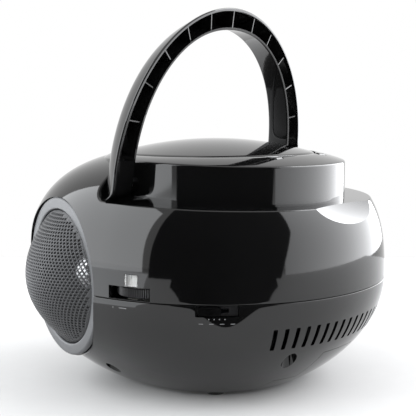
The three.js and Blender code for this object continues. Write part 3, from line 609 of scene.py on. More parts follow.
def deck_space(grow):
    """The space above the deck and behind the pivots; its front corner is round."""
    radius = PIVOT_Z - DECK_Z + grow
    turns = np.radians(np.linspace(180, 270, 17))
    outline = [(PIVOT_Y + radius * cos(a), PIVOT_Z + radius * sin(a)) for a in turns]
    outline += [(140, deck_z(140) - grow), (140, 170), (PIVOT_Y - radius, 170)]
    space = loft([[(x, y, z) for y, z in outline] for x in (-130, 130)])
    return space.cut(drum(grow, 90, 180))


def rim_band():
    """The drum's wall, its round edge and the sloping band up to the lid's opening."""
    edge, crown = 1.5, 0.35

    def circle(radius, y, z, rear_fall=0):
        angles = np.linspace(0, 2 * pi, 192, endpoint=False)
        falling = z - rear_fall * np.maximum(np.sin(angles), 0)
        return np.stack([radius * np.cos(angles), y + radius * np.sin(angles), falling], 1)

    rings = [circle(DRUM_RADIUS, DRUM_Y, DECK_Z - 15)]
    arc = quarter(DRUM_RADIUS - edge, DRUM_TOP - edge, edge, 0, 68, 6)
    rings += [circle(radius, DRUM_Y, z, DRUM_FALL) for radius, z in arc]
    inner = circle(LID_RADIUS + 1.9, LID_Y, LID_RIM_Z)
    outer = rings[-1]
    for share in (0.12, 0.3, 0.5, 0.7, 0.88, 1):
        ring = outer * (1 - share) + inner * share
        ring[:, 2] += crown * 4 * share * (1 - share)
        rings.append(ring)
    rings.append(circle(LID_RADIUS + 1.3, LID_Y, LID_RIM_Z - 0.1))
    rings.append(circle(LID_RADIUS + 0.8, LID_Y, LID_RIM_Z - 0.5))
    rings.append(circle(LID_RADIUS + 0.5, LID_Y, LID_EDGE_Z + 0.6))
    return loft(rings, crease=40)


def scoop(grow):
    """The wide finger hollow in the rear of the deck, cut off just above it to spare the drum."""
    radius = SCOOP_RADIUS + grow
    shares = np.linspace(0.02, pi - 0.02, 40)
    rings = []
    for angle in shares:
        circle = np.linspace(0, 2 * pi, 144, endpoint=False)
        rings.append(np.stack([
            SCOOP_STRETCH * radius * sin(angle) * np.cos(circle),
            SCOOP_Y + radius * sin(angle) * np.sin(circle),
            np.full(144, SCOOP_Z - radius * cos(angle)),
        ], 1))
    return loft(rings, crease=60).keep(box((-140, 40, 60), (140, 200, DECK_Z + 4 + grow)))


def deck_edge_cutter(radius=1.6):
    """Rounds the edge where the deck and the pockets beside the pivots meet the flanks."""
    corner = PIVOT_Z - DECK_Z
    path = [(PIVOT_Y - corner, z, Vector((0, 1, 0))) for z in np.linspace(141, PIVOT_Z, 14)]
    for angle in np.radians(np.linspace(180, 270, 13)[1:]):
        away = Vector((0, -cos(angle), -sin(angle)))
        path.append((PIVOT_Y + corner * cos(angle), PIVOT_Z + corner * sin(angle), away))
    right, walls = [], []
    for y, z, normal in path:
        right.append(Vector((side_x(y, z), y, z)))
        walls.append(normal)
    start = atan2(right[-1].x, -(right[-1].y - CENTRE_Y))
    for azimuth in np.linspace(start, pi, 60)[1:]:
        level = deck_z(surface_point(azimuth, DECK_Z).y)
        right.append(surface_point(azimuth, level))
        walls.append(Vector((0, DECK_SLOPE, 1)))
    left = [Vector((-p.x, p.y, p.z)) for p in right[-2::-1]]
    points = right + left
    walls = walls + walls[-2::-1]
    return round_edge(points, [surface_normal(p) for p in points], walls, radius)


def upper_half(piece):
    return piece.cut(box((-150, -150, -10), (150, 150, PARTING_Z + GAP / 2)))


def lower_half(piece):
    return piece.cut(box((-150, -150, PARTING_Z - GAP / 2), (150, 150, 200)))


def hinge_notch(side):
    x = LUG_X * side
    low = (x - 3.9, LID_HINGE_Y - 8, LID_HINGE_Z - 2.6)
    return box(low, (x + 3.9, LID_HINGE_Y + 2.4, LID_HINGE_Z + 3))


def key_hole():
    low, high = node_box("lid_key")
    return box((low.x - 0.4, low.y - 0.4, low.z - 2), (high.x + 0.4, high.y + 0.4, 160))


def panel_prism(half, z_span, grow, corner, steps=8):
    outline = rounded_outline(-half - grow, half + grow, z_span[0] - grow, z_span[1] + grow,
                              corner, steps)
    return loft([[(x, y, z) for x, z in outline] for y in (-130, -60)])


def join_pods(shell, half):
    """Adds the round frames behind both loudspeaker rings to one of the shells."""
    for side in (1, -1):
        shell.join(half(speaker_disc(side, POD_RADIUS, -28, -3.4)))


def bore_pods(shell, half):
    """Opens the frames for the baskets and seats the rings."""
    for side in (1, -1):
        shell.cut(half(speaker_disc(side, BORE_RADIUS, -30, 20)))
        shell.cut(speaker_disc(side, POD_CLEAR_RADIUS, -3.5, 30))


def upper_shell():
    base = PARTING_Z + GAP / 2
    lip = [(base, 0.45), (base + 0.12, 0.2), (base + 0.35, 0.05), (base + 0.7, 0)]
    levels = lip + [(z, 0) for z in heights(base + 1.6, DRUM_TOP, 64)]
    shell = body_form(levels)
    join_pods(shell, upper_half)
    shell.cut(deck_space(0), deck_edge_cutter())
    shell.join(rim_band())

    hollow = body_form([(z, 0) for z in heights(base - 1, DRUM_TOP - 3, 24)], WALL)
    hollow.cut(deck_space(WALL))
    hollow.join(drum(WALL, DECK_Z - 12, DRUM_TOP - DRUM_FALL - 2.5))
    hollow.cut(scoop(WALL))
    shell.cut(hollow, scoop(0))
    bore_pods(shell, upper_half)
    shell.cut(cylinder(LID_RADIUS + 0.5, (0, LID_Y, 120), (0, LID_Y, 160), 192))
    shell.cut(panel_prism(PANEL_HALF, PANEL_Z, GAP, PANEL_CORNER), key_hole())
    for side in (1, -1):
        low_x, high_x = sorted((92 * side, 120 * side))
        shell.cut(box((low_x, SLOT_Y[0], SLOT_Z[0]), (high_x, SLOT_Y[1], SLOT_Z[1])))
        start, end = (66 * side, PIVOT_Y, PIVOT_Z), (90 * side, PIVOT_Y, PIVOT_Z)
        shell.cut(cylinder(PIN_RADIUS + GAP, start, end))
        shell.cut(hinge_notch(side))
    shell.cut(box((100, WINDOW_Y[0], WINDOW_Z[0] - 0.5), (120, WINDOW_Y[1], WINDOW_Z[1])))
    return settle(shell, "upper_shell", "root", "gloss_black", "upper_housing")


def slider_matrix():
    x, y, z = SLIDER_AT
    return Matrix.Translation((x, y, z)) @ Matrix.Rotation(SLIDER_AZIMUTH, 4, "Z")


def slider_block(width, depth, height, x=0, y=0, corner=0):
    """A block in the slider's own frame: x along the travel, -y outwards."""
    matrix = slider_matrix()
    corner = max(corner, 0.01)
    outline = rounded_outline(x - width / 2, x + width / 2, -height / 2, height / 2, corner)
    rings = [[tuple(matrix @ Vector((a, depth_at, b))) for a, b in outline]
             for depth_at in (y - depth / 2, y + depth / 2)]
    return loft(rings)


def vent_slot(index):
    azimuth = VENT_FIRST + (VENT_LAST - VENT_FIRST) * index / (VENT_COUNT - 1)
    turn = Matrix.Translation((0, CENTRE_Y, 0)) @ Matrix.Rotation(azimuth, 4, "Z")
    outline = rounded_outline(-VENT_WIDTH / 2, VENT_WIDTH / 2, *VENT_Z, 0.6, 4)
    return loft([[tuple(turn @ Vector((a, y, z))) for a, z in outline] for y in (-124, -84)])


def door_space(grow):
    low = (-DOOR_HALF - grow, DOOR_FRONT - grow, -5)
    plate = box(low, (DOOR_HALF + grow, 130, DOOR_SKIRT + grow))
    return plate.join(box((-LATCH_HALF - grow, 50, -5), (LATCH_HALF + grow, 130, LATCH_Z + grow)))


def grown_box(node, grow, start):
    """A cutter a little larger than a CAD node, running on past it along -X to start."""
    low, high = node_box(node)
    return box((start, low.y - grow, low.z - grow), (high.x + grow, high.y + grow, high.z + grow))


def lower_shell():
    top = PARTING_Z - GAP / 2
    levels = BASE_EDGE + [(FLOOR_Z + 1.6, 0)]
    levels += [(z, 0) for z in heights(FLOOR_Z + 2.4, top - 1.6, 56)]
    levels += [(top - 0.3, 0), (top - 0.12, 0.03), (top, 0.15)]
    shell = body_form(levels)
    join_pods(shell, lower_half)
    shell.cut(body_form([(z, 0) for z in heights(FLOOR_Z + WALL, top + 1, 24)], WALL))
    bore_pods(shell, lower_half)
    inside = [(z, 0.6) for z in heights(FLOOR_Z, top, 24)]
    for x, y, well_top in SCREW_WELLS.values():
        boss = cylinder(7, (x, y, 5), (x, y, well_top + 12))
        shell.join(boss.keep(body_form(inside)))
        shell.cut(cylinder(4.6, (x, y, -2), (x, y, well_top)))
        shell.cut(cylinder(1.9, (x, y, well_top - 1), (x, y, well_top + 13)))
    for index in range(VENT_COUNT):
        shell.cut(vent_slot(index))
    shell.cut(door_space(GAP), slider_block(RECESS_WIDTH, 16, RECESS_HEIGHT, corner=0.8))
    shell.cut(grown_box("power_inlet", 0.3, -120))
    jack_y, jack_z = jack_centre()
    shell.cut(cylinder(4.5, (-120, jack_y, jack_z), (-86, jack_y, jack_z)))
    return settle(shell, "lower_shell", "root", "gloss_black", "lower_housing")


def jack_centre():
    low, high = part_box("audio_jack")
    middle = (low + high) / 2 / MM
    return middle.y, middle.z


def battery_door():
    door = body_form(BASE_EDGE + [(z, 0) for z in heights(FLOOR_Z + 1.6, 40, 30)])
    door.cut(body_form([(z, 0) for z in heights(FLOOR_Z + WALL, 41, 20)], WALL))
    door.keep(door_space(0))
    for rib in range(5):
        y = DOOR_FRONT + 12 + rib * 3
        door.cut(box((-14, y, -1), (14, y + 1.2, FLOOR_Z + 0.5)))
    return settle(door, "battery_cover", "battery_door", "gloss_black", "battery_door")


# ---------------------------------------------------------------- lid and disc well

def crown(share):
    return LID_APEX_Z - (LID_APEX_Z - LID_RIM_Z) * share * share


def lid():
    top = [(max(LID_RADIUS * s, 0.001), crown(s)) for s in np.linspace(0, 0.982, 30)]
    edge = quarter(LID_RADIUS - 0.9, LID_RIM_Z - 1.0, 0.9, 72, 0, 5)
    under = [(LID_RADIUS, LID_EDGE_Z), (LID_RADIUS - LID_THICKNESS, LID_EDGE_Z)]
    under += [(max(LID_RADIUS * s, 0.001), crown(s) - LID_THICKNESS) for s in np.linspace(0.9, 0, 20)]
    matrix = Matrix.Translation((0, LID_Y, 0))
    made = turned(top + edge + under, matrix, 192)
    for side in (1, -1):
        x = LUG_X * side
        inner = LID_Y + sqrt(LID_RADIUS ** 2 - (LUG_X + 3) ** 2) - 2
        made.join(box((x - 3, inner, LID_EDGE_Z), (x + 3, LID_HINGE_Y, LID_EDGE_Z + 1.4)))
        start, end = (x - 3, LID_HINGE_Y, LID_HINGE_Z), (x + 3, LID_HINGE_Y, LID_HINGE_Z)
        made.join(cylinder(1.8, start, end, 32))
    return settle(made, "lid_cover", "lid", "gloss_black", "cd_lid")


def disc_well():
    floor, top = WELL_FLOOR_Z, LID_EDGE_Z - 0.4
    profile = [(0.001, floor), (64, floor), (64, top), (62, top), (61.5, top - 0.5),
               (61.5, floor + 3), (60.9, floor + 2.3), (60.2, floor + 2),
               (24, floor + 2), (23.4, floor + 1.4), (20, floor + 1.4), (19.4, floor + 2),
               (0.001, floor + 2)]
    well = turned(profile, Matrix.Translation((0, LID_Y, 0)), 160)
    well.cut(cylinder(16.5, (0, LID_Y, 120), (0, LID_Y, 135), 96))
    well.cut(box((0, LID_Y - 9.5, 120), (60, LID_Y + 9.5, 135)))
    well.cut(hinge_notch(1), hinge_notch(-1), key_hole())
    return settle(well, "disc_well", "root", "satin_black", "cd_well")


def about_spindle(name, body, slot, node, profile, count=72):
    made = turned(profile, Matrix.Translation((0, LID_Y, 0)), count)
    return settle(made, name, body, slot, node)


def disc_parts():
    hub = [(0.001, 122.4), (1.2, 122.4), (1.2, 128.4), (14.2, 128.4), (14.5, 128.7), (14.5, 130.7),
           (14.2, 131), (7.5, 131), (7.3, 131.2), (7.2, 132.3), (7, 132.8), (6.2, 133.7),
           (5, 134.4), (0.001, 134.4)]
    about_spindle("disc_hub", "spindle", "dark_plastic", "spindle_hub", hub)
    clamp = [(0.001, 134.8), (9.8, 134.8), (10.4, 135.1), (12, 137), (12, 138.8), (11.6, 139.1),
             (5.4, 140.8), (5, 141), (0.001, 141)]
    about_spindle("clamp_disc", "disc_clamp", "white_plastic", "cd_clamp", clamp)
    holder = [(6, 142.2), (6.2, 142), (15.8, 142), (16.2, 142.3), (18, 150.7), (17.8, 151),
              (15.2, 151), (13, 145), (6.2, 145), (6, 144.8)]
    about_spindle("clamp_cage", "lid", "dark_plastic", "clamp_holder", holder)


def rounded_bar(node, name, body, slot, corner=0.8):
    """A block of a CAD node's own size with round upright edges and an eased top."""
    low, high = node_box(node)
    ease = 0.35
    rings = []
    levels = ((low.z, 0), (high.z - ease, 0), (high.z - ease * 0.3, ease * 0.3), (high.z, ease))
    for z, inset in levels:
        outline = rounded_outline(low.x + inset, high.x - inset, low.y + inset, high.y - inset,
                                  max(corner - inset, 0.1))
        rings.append([(x, y, z) for x, y in outline])
    return settle(loft(rings), name, body, slot, node)


# ---------------------------------------------------------------- front panel

def front_skin():
    skin = body_form([(z, 0) for z in heights(72, 125, 36)])
    return skin.cut(body_form([(z, 0) for z in heights(71, 126, 24)], WALL))


def front_face():
    panel = front_skin().keep(panel_prism(PANEL_HALF, PANEL_Z, 0, PANEL_CORNER))
    panel.cut(panel_prism(DISPLAY_HALF, DISPLAY_Z, GAP, 2))
    for index in range(5):
        x = (index - 2) * KEY_PITCH
        panel.cut(cylinder(KEY_RADIUS + 0.4, (x, -130, KEY_Z), (x, -60, KEY_Z), 48))
    settle(panel, "front_fascia", "root", "gloss_black", "front_panel")
    window = front_skin().keep(panel_prism(DISPLAY_HALF, DISPLAY_Z, 0, 2))
    settle(window, "display_pane", "root", "clear_window", "display_window")


def icon_shapes(index):
    """Generic transport marks as flat outlines about the key's centre."""
    triangle = lambda x, way: [(x - way, -1.2), (x + way, 0), (x - way, 1.2)]
    block = lambda x, half: [(x - half, -1.2), (x + half, -1.2), (x + half, 1.2), (x - half, 1.2)]
    return (
        [block(-1.1, 0.22), block(0, 0.22), block(1.1, 0.22)],
        [triangle(0.9, -0.9), triangle(-0.7, -0.7), block(-1.7, 0.2)],
        [triangle(-1.1, 0.9), block(0.75, 0.22), block(1.55, 0.22)],
        [triangle(-0.9, 0.9), triangle(0.7, 0.7), block(1.7, 0.2)],
        [block(0, 1.2)],
    )[index]


def front_keys():
    names = ("key_program", "key_skip_back", "key_play_pause", "key_skip_forward", "key_stop")
    for index, node in enumerate(names):
        x = (index - 2) * KEY_PITCH
        face = front_y(x, KEY_Z) - KEY_PROUD
        depth = KEY_BACK_Y - face
        edge = 0.6
        profile = [(0.001, 0), (KEY_RADIUS, 0)]
        profile += quarter(KEY_RADIUS - edge, depth - edge, edge, 0, 90, 5)
        profile += [(KEY_RADIUS * 0.5, depth - 0.08), (0.001, depth - 0.16)]
        matrix = Matrix.Translation((x, KEY_BACK_Y, KEY_Z)) @ Matrix.Rotation(pi / 2, 4, "X")
        cap = settle(turned(profile, matrix, 64), node + "_cap", node, "silver_plastic", node)
        for number, outline in enumerate(icon_shapes(index)):
            # pad-printed marks stand a hair proud of the dished face
            rings = [[(x + a, face + 0.1 - lift, KEY_Z + b) for a, b in outline] for lift in (0, 0.12)]
            mark = settle(loft(rings), f"{node}_mark_{number}", node, "dark_plastic")
            mark.data.materials[0] = MATERIALS["satin_black"]


# ---------------------------------------------------------------- loudspeakers

def grille(side, suffix):
    """A domed sheet with a staggered field of real round holes."""
    radius = RING_INNER - 0.4
    row = HOLE_PITCH * sqrt(3) / 2
    rows = int(radius / row) + 1
    points, faces = [], []
    corners = 12
    turns = [2 * pi * (i + 0.5) / corners for i in range(corners)]
    flat = HOLE_PITCH / 2

    def lift(a, b):
        reach = hypot(a, b)
        if reach > radius:
            a, b = a * radius / reach, b * radius / reach
            reach = radius
        return a, b, -1.4 + (GRILLE_BULGE + 1.4) * (1 - (reach / radius) ** 2)

    for j in range(-rows, rows + 1):
        shift = (j % 2) * HOLE_PITCH / 2
        for i in range(-rows, rows + 1):
            ca, cb = i * HOLE_PITCH + shift, j * row
            distance = hypot(ca, cb)
            if distance > radius + HOLE_PITCH * 0.6:
                continue
            open_hole = distance < radius - 1.6
            first = len(points)
            for turn in turns:
                # a hexagon's edge in this direction
                sector = (turn % (pi / 3)) - pi / 6
                reach = flat / cos(sector)
                points.append(lift(ca + reach * cos(turn), cb + reach * sin(turn)))
            for turn in turns:
                points.append(lift(ca + HOLE_RADIUS * cos(turn), cb + HOLE_RADIUS * sin(turn)))
            for k in range(corners):
                m = (k + 1) % corners
                faces.append((first + k, first + m, first + corners + m, first + corners + k))
            if not open_hole:
                faces.append(tuple(first + corners + k for k in range(corners)))
    mesh = bpy.data.meshes.new("grille")
    matrix = Matrix.Diagonal((MM, MM, MM, 1)) @ speaker_matrix(side)
    mesh.from_pydata([tuple(matrix @ Vector(p)) for p in points], [], faces)
    tidy(mesh, weld=0.12 * MM, thin=0.01 * MM)
    piece = linked("grille", mesh)
    mesh.polygons.foreach_set("use_smooth", [True] * len(mesh.polygons))
    thick = piece.modifiers.new("sheet", "SOLIDIFY")
    thick.thickness = GRILLE_SHEET * MM
    thick.offset = -1
    place(piece, f"grille_{suffix}", "root", "grille_metal", f"speaker_grille_{suffix}")


def speakers():
    for side, suffix in ((1, "right"), (-1, "left")):
        matrix = speaker_matrix(side)
        ring = [(RING_INNER, -3.1), (RING_OUTER - 0.3, -3.1), (RING_OUTER, -2.8)]
        ring += [(RING_OUTER, -1.2)] + quarter(RING_OUTER - 1.5, -1.5, 1.5, 12, 90, 6)
        ring += [(RING_INNER + 2.6, 0.0)] + quarter(RING_INNER + 1.2, -1.2, 1.2, 90, 180, 5)
        settle(turned(ring, matrix, 160), f"ring_{suffix}", "root", "silver_plastic",
               f"speaker_ring_{suffix}")
        grille(side, suffix)
        cone = [(11.4, -16.2), (11.4, -17.6), (33, -8.2)]
        cone += [(34.4, -6.6), (36.2, -5.9), (37.4, -5.9), (37.4, -5.4)]
        cone += [(36.4, -4.6), (35, -4.9), (33.6, -6.4)]
        settle(turned(cone, matrix, 96), f"cone_{suffix}", "root", "black_cone",
               f"speaker_cone_{suffix}")
        shares = np.linspace(0, 1, 12)
        cap = [(max(10.6 * s, 0.001), -15.6 + 5.4 * (1 - s * s)) for s in shares]
        cap += [(max(10.6 * s, 0.001), -16.4 + 5.4 * (1 - s * s)) for s in shares[::-1]]
        settle(turned(cap, matrix, 64), f"dust_cap_{suffix}", "root", "cap_aluminium",
               f"speaker_cap_{suffix}")


# ---------------------------------------------------------------- thumbwheels and slider

def thumbwheel(side, name, body, node):
    """A finely knurled wheel with eased edges on a short shaft."""
    knurls, edge = 96, 0.5
    top = WHEEL_Z + WHEEL_THICK
    rings = []
    for z, inset in ((WHEEL_Z, edge), (WHEEL_Z + edge, 0), (top - edge, 0), (top, edge)):
        ring = []
        for i in range(knurls * 4):
            angle = 2 * pi * i / (knurls * 4)
            radius = WHEEL_RADIUS - inset - (0.0, 0.2, 0.45, 0.2)[i % 4]
            ring.append((WHEEL_X * side + radius * cos(angle), WHEEL_Y + radius * sin(angle), z))
        rings.append(ring)
    wheel = loft(rings)
    start, end = (WHEEL_X * side, WHEEL_Y, WHEEL_Z - 6), (WHEEL_X * side, WHEEL_Y, top - 1)
    wheel.join(cylinder(2.9, start, end, 32))
    return settle(wheel, name, body, "satin_black", node)


def scale_drum():
    low, high = node_box("tuning_scale")
    low_z, high_z = low.z, high.z
    radius = SCALE_RADIUS
    profile = [(radius - 2, low_z), (radius, low_z), (radius, high_z), (radius - 2, high_z)]
    drum_piece = turned(profile, Matrix.Translation((WHEEL_X, WHEEL_Y, 0)), 96)
    settle(drum_piece, "scale_band", "tuning", "white_plastic", "tuning_scale")
    for index in range(SCALE_TICKS):
        angle = 2 * pi * index / SCALE_TICKS
        turn = Matrix.Translation((WHEEL_X, WHEEL_Y, 0)) @ Matrix.Rotation(angle, 4, "Z")
        tall = 3.4 if index % 3 == 0 else 2
        top = high_z - 1.5
        tick = box((radius - 0.05, -0.16, top - tall), (radius + 0.03, 0.16, top), turn)
        settle(tick, f"scale_tick_{index}", "tuning", "satin_black")


def scale_pane():
    pane = body_form([(z, 0) for z in heights(70, 95, 20)])
    pane.cut(body_form([(z, 0) for z in heights(69, 96, 20)], WALL - 0.8))
    low = (100, WINDOW_Y[0] + GAP, WINDOW_Z[0] + GAP)
    pane.keep(box(low, (120, WINDOW_Y[1] - GAP, WINDOW_Z[1] - GAP)))
    return settle(pane, "scale_pane", "root", "clear_window", "tuning_window")


def slider():
    rest_x = -RECESS_WIDTH / 2 + KNOB_WIDTH / 2 + 1.2
    knob = slider_block(KNOB_WIDTH, 2.6, KNOB_HEIGHT, rest_x, 1, corner=2.3)
    knob.join(slider_block(2.4, 7, 1.8, -4.05, 4.5))
    for rib in range(4):
        knob.cut(slider_block(0.5, 0.5, KNOB_HEIGHT - 2.2, rest_x + (rib - 1.5) * 1.1, -0.3, 0.1))
    settle(knob, "slider_knob", "function", "gloss_black", "function_slider")
    plate = slider_block(RECESS_WIDTH - 0.6, 1.2, RECESS_HEIGHT - 0.6, 0, 3.2, corner=0.6)
    plate.cut(slider_block(13.1, 6, 2.4, 0, 3.2))
    settle(plate, "slider_bed", "root", "satin_black", "slider_plate")


def printed_mark(name, azimuth, z, width, height):
    """A thin printed mark that follows the flank."""
    centre = surface_point(azimuth, z)
    outwards = surface_normal(centre)
    across = Vector((-outwards.y, outwards.x, 0)).normalized()
    up = outwards.cross(across).normalized()
    corner = min(width, height) * 0.45
    outline = rounded_outline(-width / 2, width / 2, -height / 2, height / 2, corner, 4)
    rings = [[tuple(centre + across * a + up * b + outwards * lift) for a, b in outline]
             for lift in (-0.15, 0.03)]
    made = settle(loft(rings), name, "root", "white_plastic")
    made.data.materials[0] = PRINT_WHITE


def printed_marks():
    """Generic index marks: four switch positions under the slider, a bar and a dot by the wheel."""
    middle = atan2(SLIDER_AT[0], -(SLIDER_AT[1] - CENTRE_Y))
    for index in range(4):
        place_along = index - 1.5
        printed_mark(f"switch_dot_{index}", middle + radians(1.55) * place_along, 59.2, 0.7, 0.7)
        printed_mark(f"switch_bar_{index}", middle + radians(3.1) * place_along, 56.4, 2.6, 0.4)
    printed_mark("tuning_bar", radians(98), 62.6, 5.2, 0.45)
    printed_mark("tuning_dot", radians(94.5), 62.6, 0.7, 0.7)


# ---------------------------------------------------------------- handle

def arch_point(arch, share):
    half, rise, power = arch
    angle = pi * share
    reach = lambda value: np.sign(value) * abs(value) ** (2 / power)
    return half * reach(cos(angle)), SPRING_Z + rise * reach(sin(angle))


def handle_point(share, outwards, back):
    inner, outer = arch_point(INNER_ARCH, share), arch_point(OUTER_ARCH, share)
    x = inner[0] + (outer[0] - inner[0]) * outwards
    z = inner[1] + (outer[1] - inner[1]) * outwards
    return x, HANDLE_REAR_Y - HANDLE_DEPTH + back, z


def back_at(outwards, offset=0.0):
    """The handle's outer face: how far behind the front edge it is at each width."""
    return HANDLE_DEPTH * max((outwards - 0.12 + offset) / 0.88, 0) ** 1.6


def eased(before, corner, after, radius, steps=5):
    """A round corner between two straight stretches of an outline."""
    a = (Vector(before) - Vector(corner)).normalized()
    b = (Vector(after) - Vector(corner)).normalized()
    half = a.angle(b) / 2
    centre = Vector(corner) + (a + b).normalized() * (radius / sin(half))
    start = Vector(corner) + a * (radius / np.tan(half)) - centre
    end = Vector(corner) + b * (radius / np.tan(half)) - centre
    return [tuple(centre + start.slerp(end, s / steps)) for s in range(steps + 1)]


def handle_section():
    """(outwards share, back) pairs with eased corners; the arch is about 15 mm thick."""
    thick = 15
    curve = [(thick * u, back_at(u)) for u in np.linspace(0.2, 0.955, 14)]
    front = eased((0, 8), (0, 0), (1.8, 0), 0.9)
    outer = eased(curve[-1], (thick, HANDLE_DEPTH), (0, HANDLE_DEPTH), 0.25, 4)
    inner = eased((thick, HANDLE_DEPTH), (0, HANDLE_DEPTH), (0, 0), 0.25, 4)
    return [(a / thick, b) for a, b in front + curve + outer + inner]


def channel_section():
    """The hollow between two ribs, from its floor out past the handle's rear face."""
    past_rear = HANDLE_DEPTH + 4
    outer = [(u, back_at(u, 0.06) + 0.9) for u in np.linspace(0.26, 0.905, 9)]
    return [(0.085, 8.5)] + outer + [(0.91, 17), (0.91, past_rear), (0.085, past_rear)]


def sweep(section, first, last, stations):
    shares = [first + (last - first) * i / stations for i in range(stations + 1)]
    return [[handle_point(s, u, back) for u, back in section] for s in shares]


def lean():
    """Leans the handle back about its pivots."""
    pivot = Vector((0, PIVOT_Y, PIVOT_Z))
    turn = Matrix.Rotation(-HANDLE_LEAN, 4, "X")
    return Matrix.Translation(pivot * MM) @ turn @ Matrix.Translation(-pivot * MM)


def handle_foot(ring):
    """Rings that carry the arch's end down past the pivot and round it off."""
    reach = HANDLE_DEPTH / 2
    rings = []
    for drop in np.linspace(0, 0.985, 12):
        width = sqrt(1 - drop * drop)
        z = PIVOT_Z - reach * drop
        rings.append([(x, PIVOT_Y + (y - PIVOT_Y) * width, z) for x, y, _ in ring])
    return rings


def handle():
    rings = sweep(handle_section(), 0, 1, 168)
    near, far = handle_foot(rings[0]), handle_foot(rings[-1])
    arch = loft(near[::-1] + rings + far, crease=28)
    bays = RIB_COUNT + 1
    for bay in range(bays):
        start = 0.03 + bay * 0.94 / bays + RIB_SHARE
        end = 0.03 + (bay + 1) * 0.94 / bays - RIB_SHARE
        arch.cut(loft(sweep(channel_section(), start, end, 12)))
    shallow = [(0.085, HANDLE_DEPTH - 0.5), (0.905, HANDLE_DEPTH - 0.5), (0.905, 20), (0.085, 20)]
    arch.cut(loft(sweep(shallow, 0.032, 0.968, 160)))
    for side in (1, -1):
        start, end = (80 * side, PIVOT_Y, PIVOT_Z), (89 * side, PIVOT_Y, PIVOT_Z)
        arch.cut(cylinder(PIN_RADIUS + 0.08, start, end, 48))
    made = settle(arch, "carrying_handle", "handle", "gloss_black", "handle")
    made.data.transform(lean())
    return made


# ---------------------------------------------------------------- small hardware

def screws_and_feet():
    for name, (x, y, top) in SCREW_WELLS.items():
        head = [(0.001, top - 2.4), (1.6, top - 2.6), (2.6, top - 2.3), (3.4, top - 1.4),
                (3.4, top - 0.3), (1.5, top - 0.3), (1.5, top + 8), (0.001, top + 8)]
        screw = turned(head, Matrix.Translation((x, y, 0)), 48)
        for low, high in (((-2, -0.4), (2, 0.4)), ((-0.4, -2), (0.4, 2))):
            screw.cut(box((x + low[0], y + low[1], top - 4), (x + high[0], y + high[1], top - 1.5)))
        settle(screw, f"screw_{name}", "root", "dark_steel", f"case_screw_{name}")
        low, high = node_box(f"foot_{name}")
        middle, radius = (low + high) / 2, (high.x - low.x) / 2
        foot = [(0.001, high.z), (radius, high.z)]
        foot += quarter(radius - 0.5, low.z + 0.5, 0.5, 0, -90, 4)
        foot += [(3, low.z), (2.6, low.z + 0.3), (0.001, low.z + 0.3)]
        pad = turned(foot, Matrix.Translation((middle.x, middle.y, 0)), 48)
        settle(pad, f"pad_{name}", "root", "foot_rubber", f"foot_{name}")


def sockets():
    low, high = node_box("power_inlet")
    y, z = (low.y + high.y) / 2, (low.z + high.z) / 2

    def block(x0, x1, half_y, half_z, corner):
        outline = rounded_outline(y - half_y, y + half_y, z - half_z, z + half_z, corner)
        return loft([[(x, a, b) for a, b in outline] for x in (x0, x1)])

    inlet = block(low.x, high.x, (high.y - low.y) / 2, (high.z - low.z) / 2, 1.2)
    inlet.cut(block(low.x - 2, high.x - 4, 7.5, 4.2, 4.1))
    for offset in (-3.6, 3.6):
        inlet.join(cylinder(1.1, (low.x + 1, y + offset, z), (high.x - 3, y + offset, z), 24))
    settle(inlet, "mains_inlet", "root", "dark_plastic", "power_inlet")
    jack_y, jack_z = jack_centre()
    _, jack_high = node_box("audio_jack")
    profile = [(1.8, 0), (1.8, 12.6), (2.2, 13.4), (3.4, 13.8), (4.1, 13.4), (4.1, 0)]
    matrix = Matrix.Translation((jack_high.x, jack_y, jack_z)) @ Matrix.Rotation(-pi / 2, 4, "Y")
    settle(turned(profile, matrix, 48), "line_socket", "root", "dark_plastic", "audio_jack")


def inner_parts():
    """CAD nodes that stay as they are: paint, and a fine bevel on their edges."""
    slots = {row["node"]: row["material_slot"] for row in frame["record"]["subparts"]}
    for name, node in frame["nodes"].items():
        if node.hide_render:
            continue
        node.data.materials.clear()
        node.data.materials.append(MATERIALS[slots[name]])
        bevel = node.modifiers.new("eased_edges", "BEVEL")
        bevel.width = 0.25 * MM
        bevel.segments = 2
        bevel.limit_method = "ANGLE"
        bevel.angle_limit = radians(40)


# ---------------------------------------------------------------- stage, light and camera

def camera():
    made = linked("camera", bpy.data.cameras.new("camera"))
    made.data.sensor_width = 36
    made.data.lens = CAMERA_LENS
    made.location = CAMERA_AT
    made.rotation_euler = [radians(angle) for angle in CAMERA_TURN]
    bpy.context.scene.camera = made


def direction(azimuth):
    """A level direction; 0 is the player's front and 90 its right."""
    return Vector((sin(radians(azimuth)), -cos(radians(azimuth)), 0))


def softbox(name, azimuth, width, radiance, tint, height=1.9, distance=1.25, middle_z=0.85):
    """An upright area light that faces the player from an azimuth; lengths in metres."""
    lamp = bpy.data.lights.new(name, "AREA")
    lamp.shape = "RECTANGLE"
    lamp.size, lamp.size_y = width, height
    lamp.energy = radiance * pi * width * height
    lamp.color = tint
    made = linked(name, lamp)
    made.location = direction(azimuth) * distance + Vector((0, 0, middle_z))
    aim = Vector((0, 0, 0.08)) - made.location
    aim.z = 0
    made.rotation_euler = aim.to_track_quat("-Z", "Y").to_euler()
    made.visible_camera = False
    return made


def sheet_mesh(name, grid, material):
    """A stage surface from a grid of points in metres."""
    rows, columns = len(grid), len(grid[0])
    points = [tuple(p) for row in grid for p in row]
    faces = [(r * columns + c, r * columns + c + 1, (r + 1) * columns + c + 1, (r + 1) * columns + c)
             for r in range(rows - 1) for c in range(columns - 1)]
    mesh = bpy.data.meshes.new(name)
    mesh.from_pydata(points, [], faces)
    mesh.materials.append(material)
    made = linked(name, mesh)
    return made


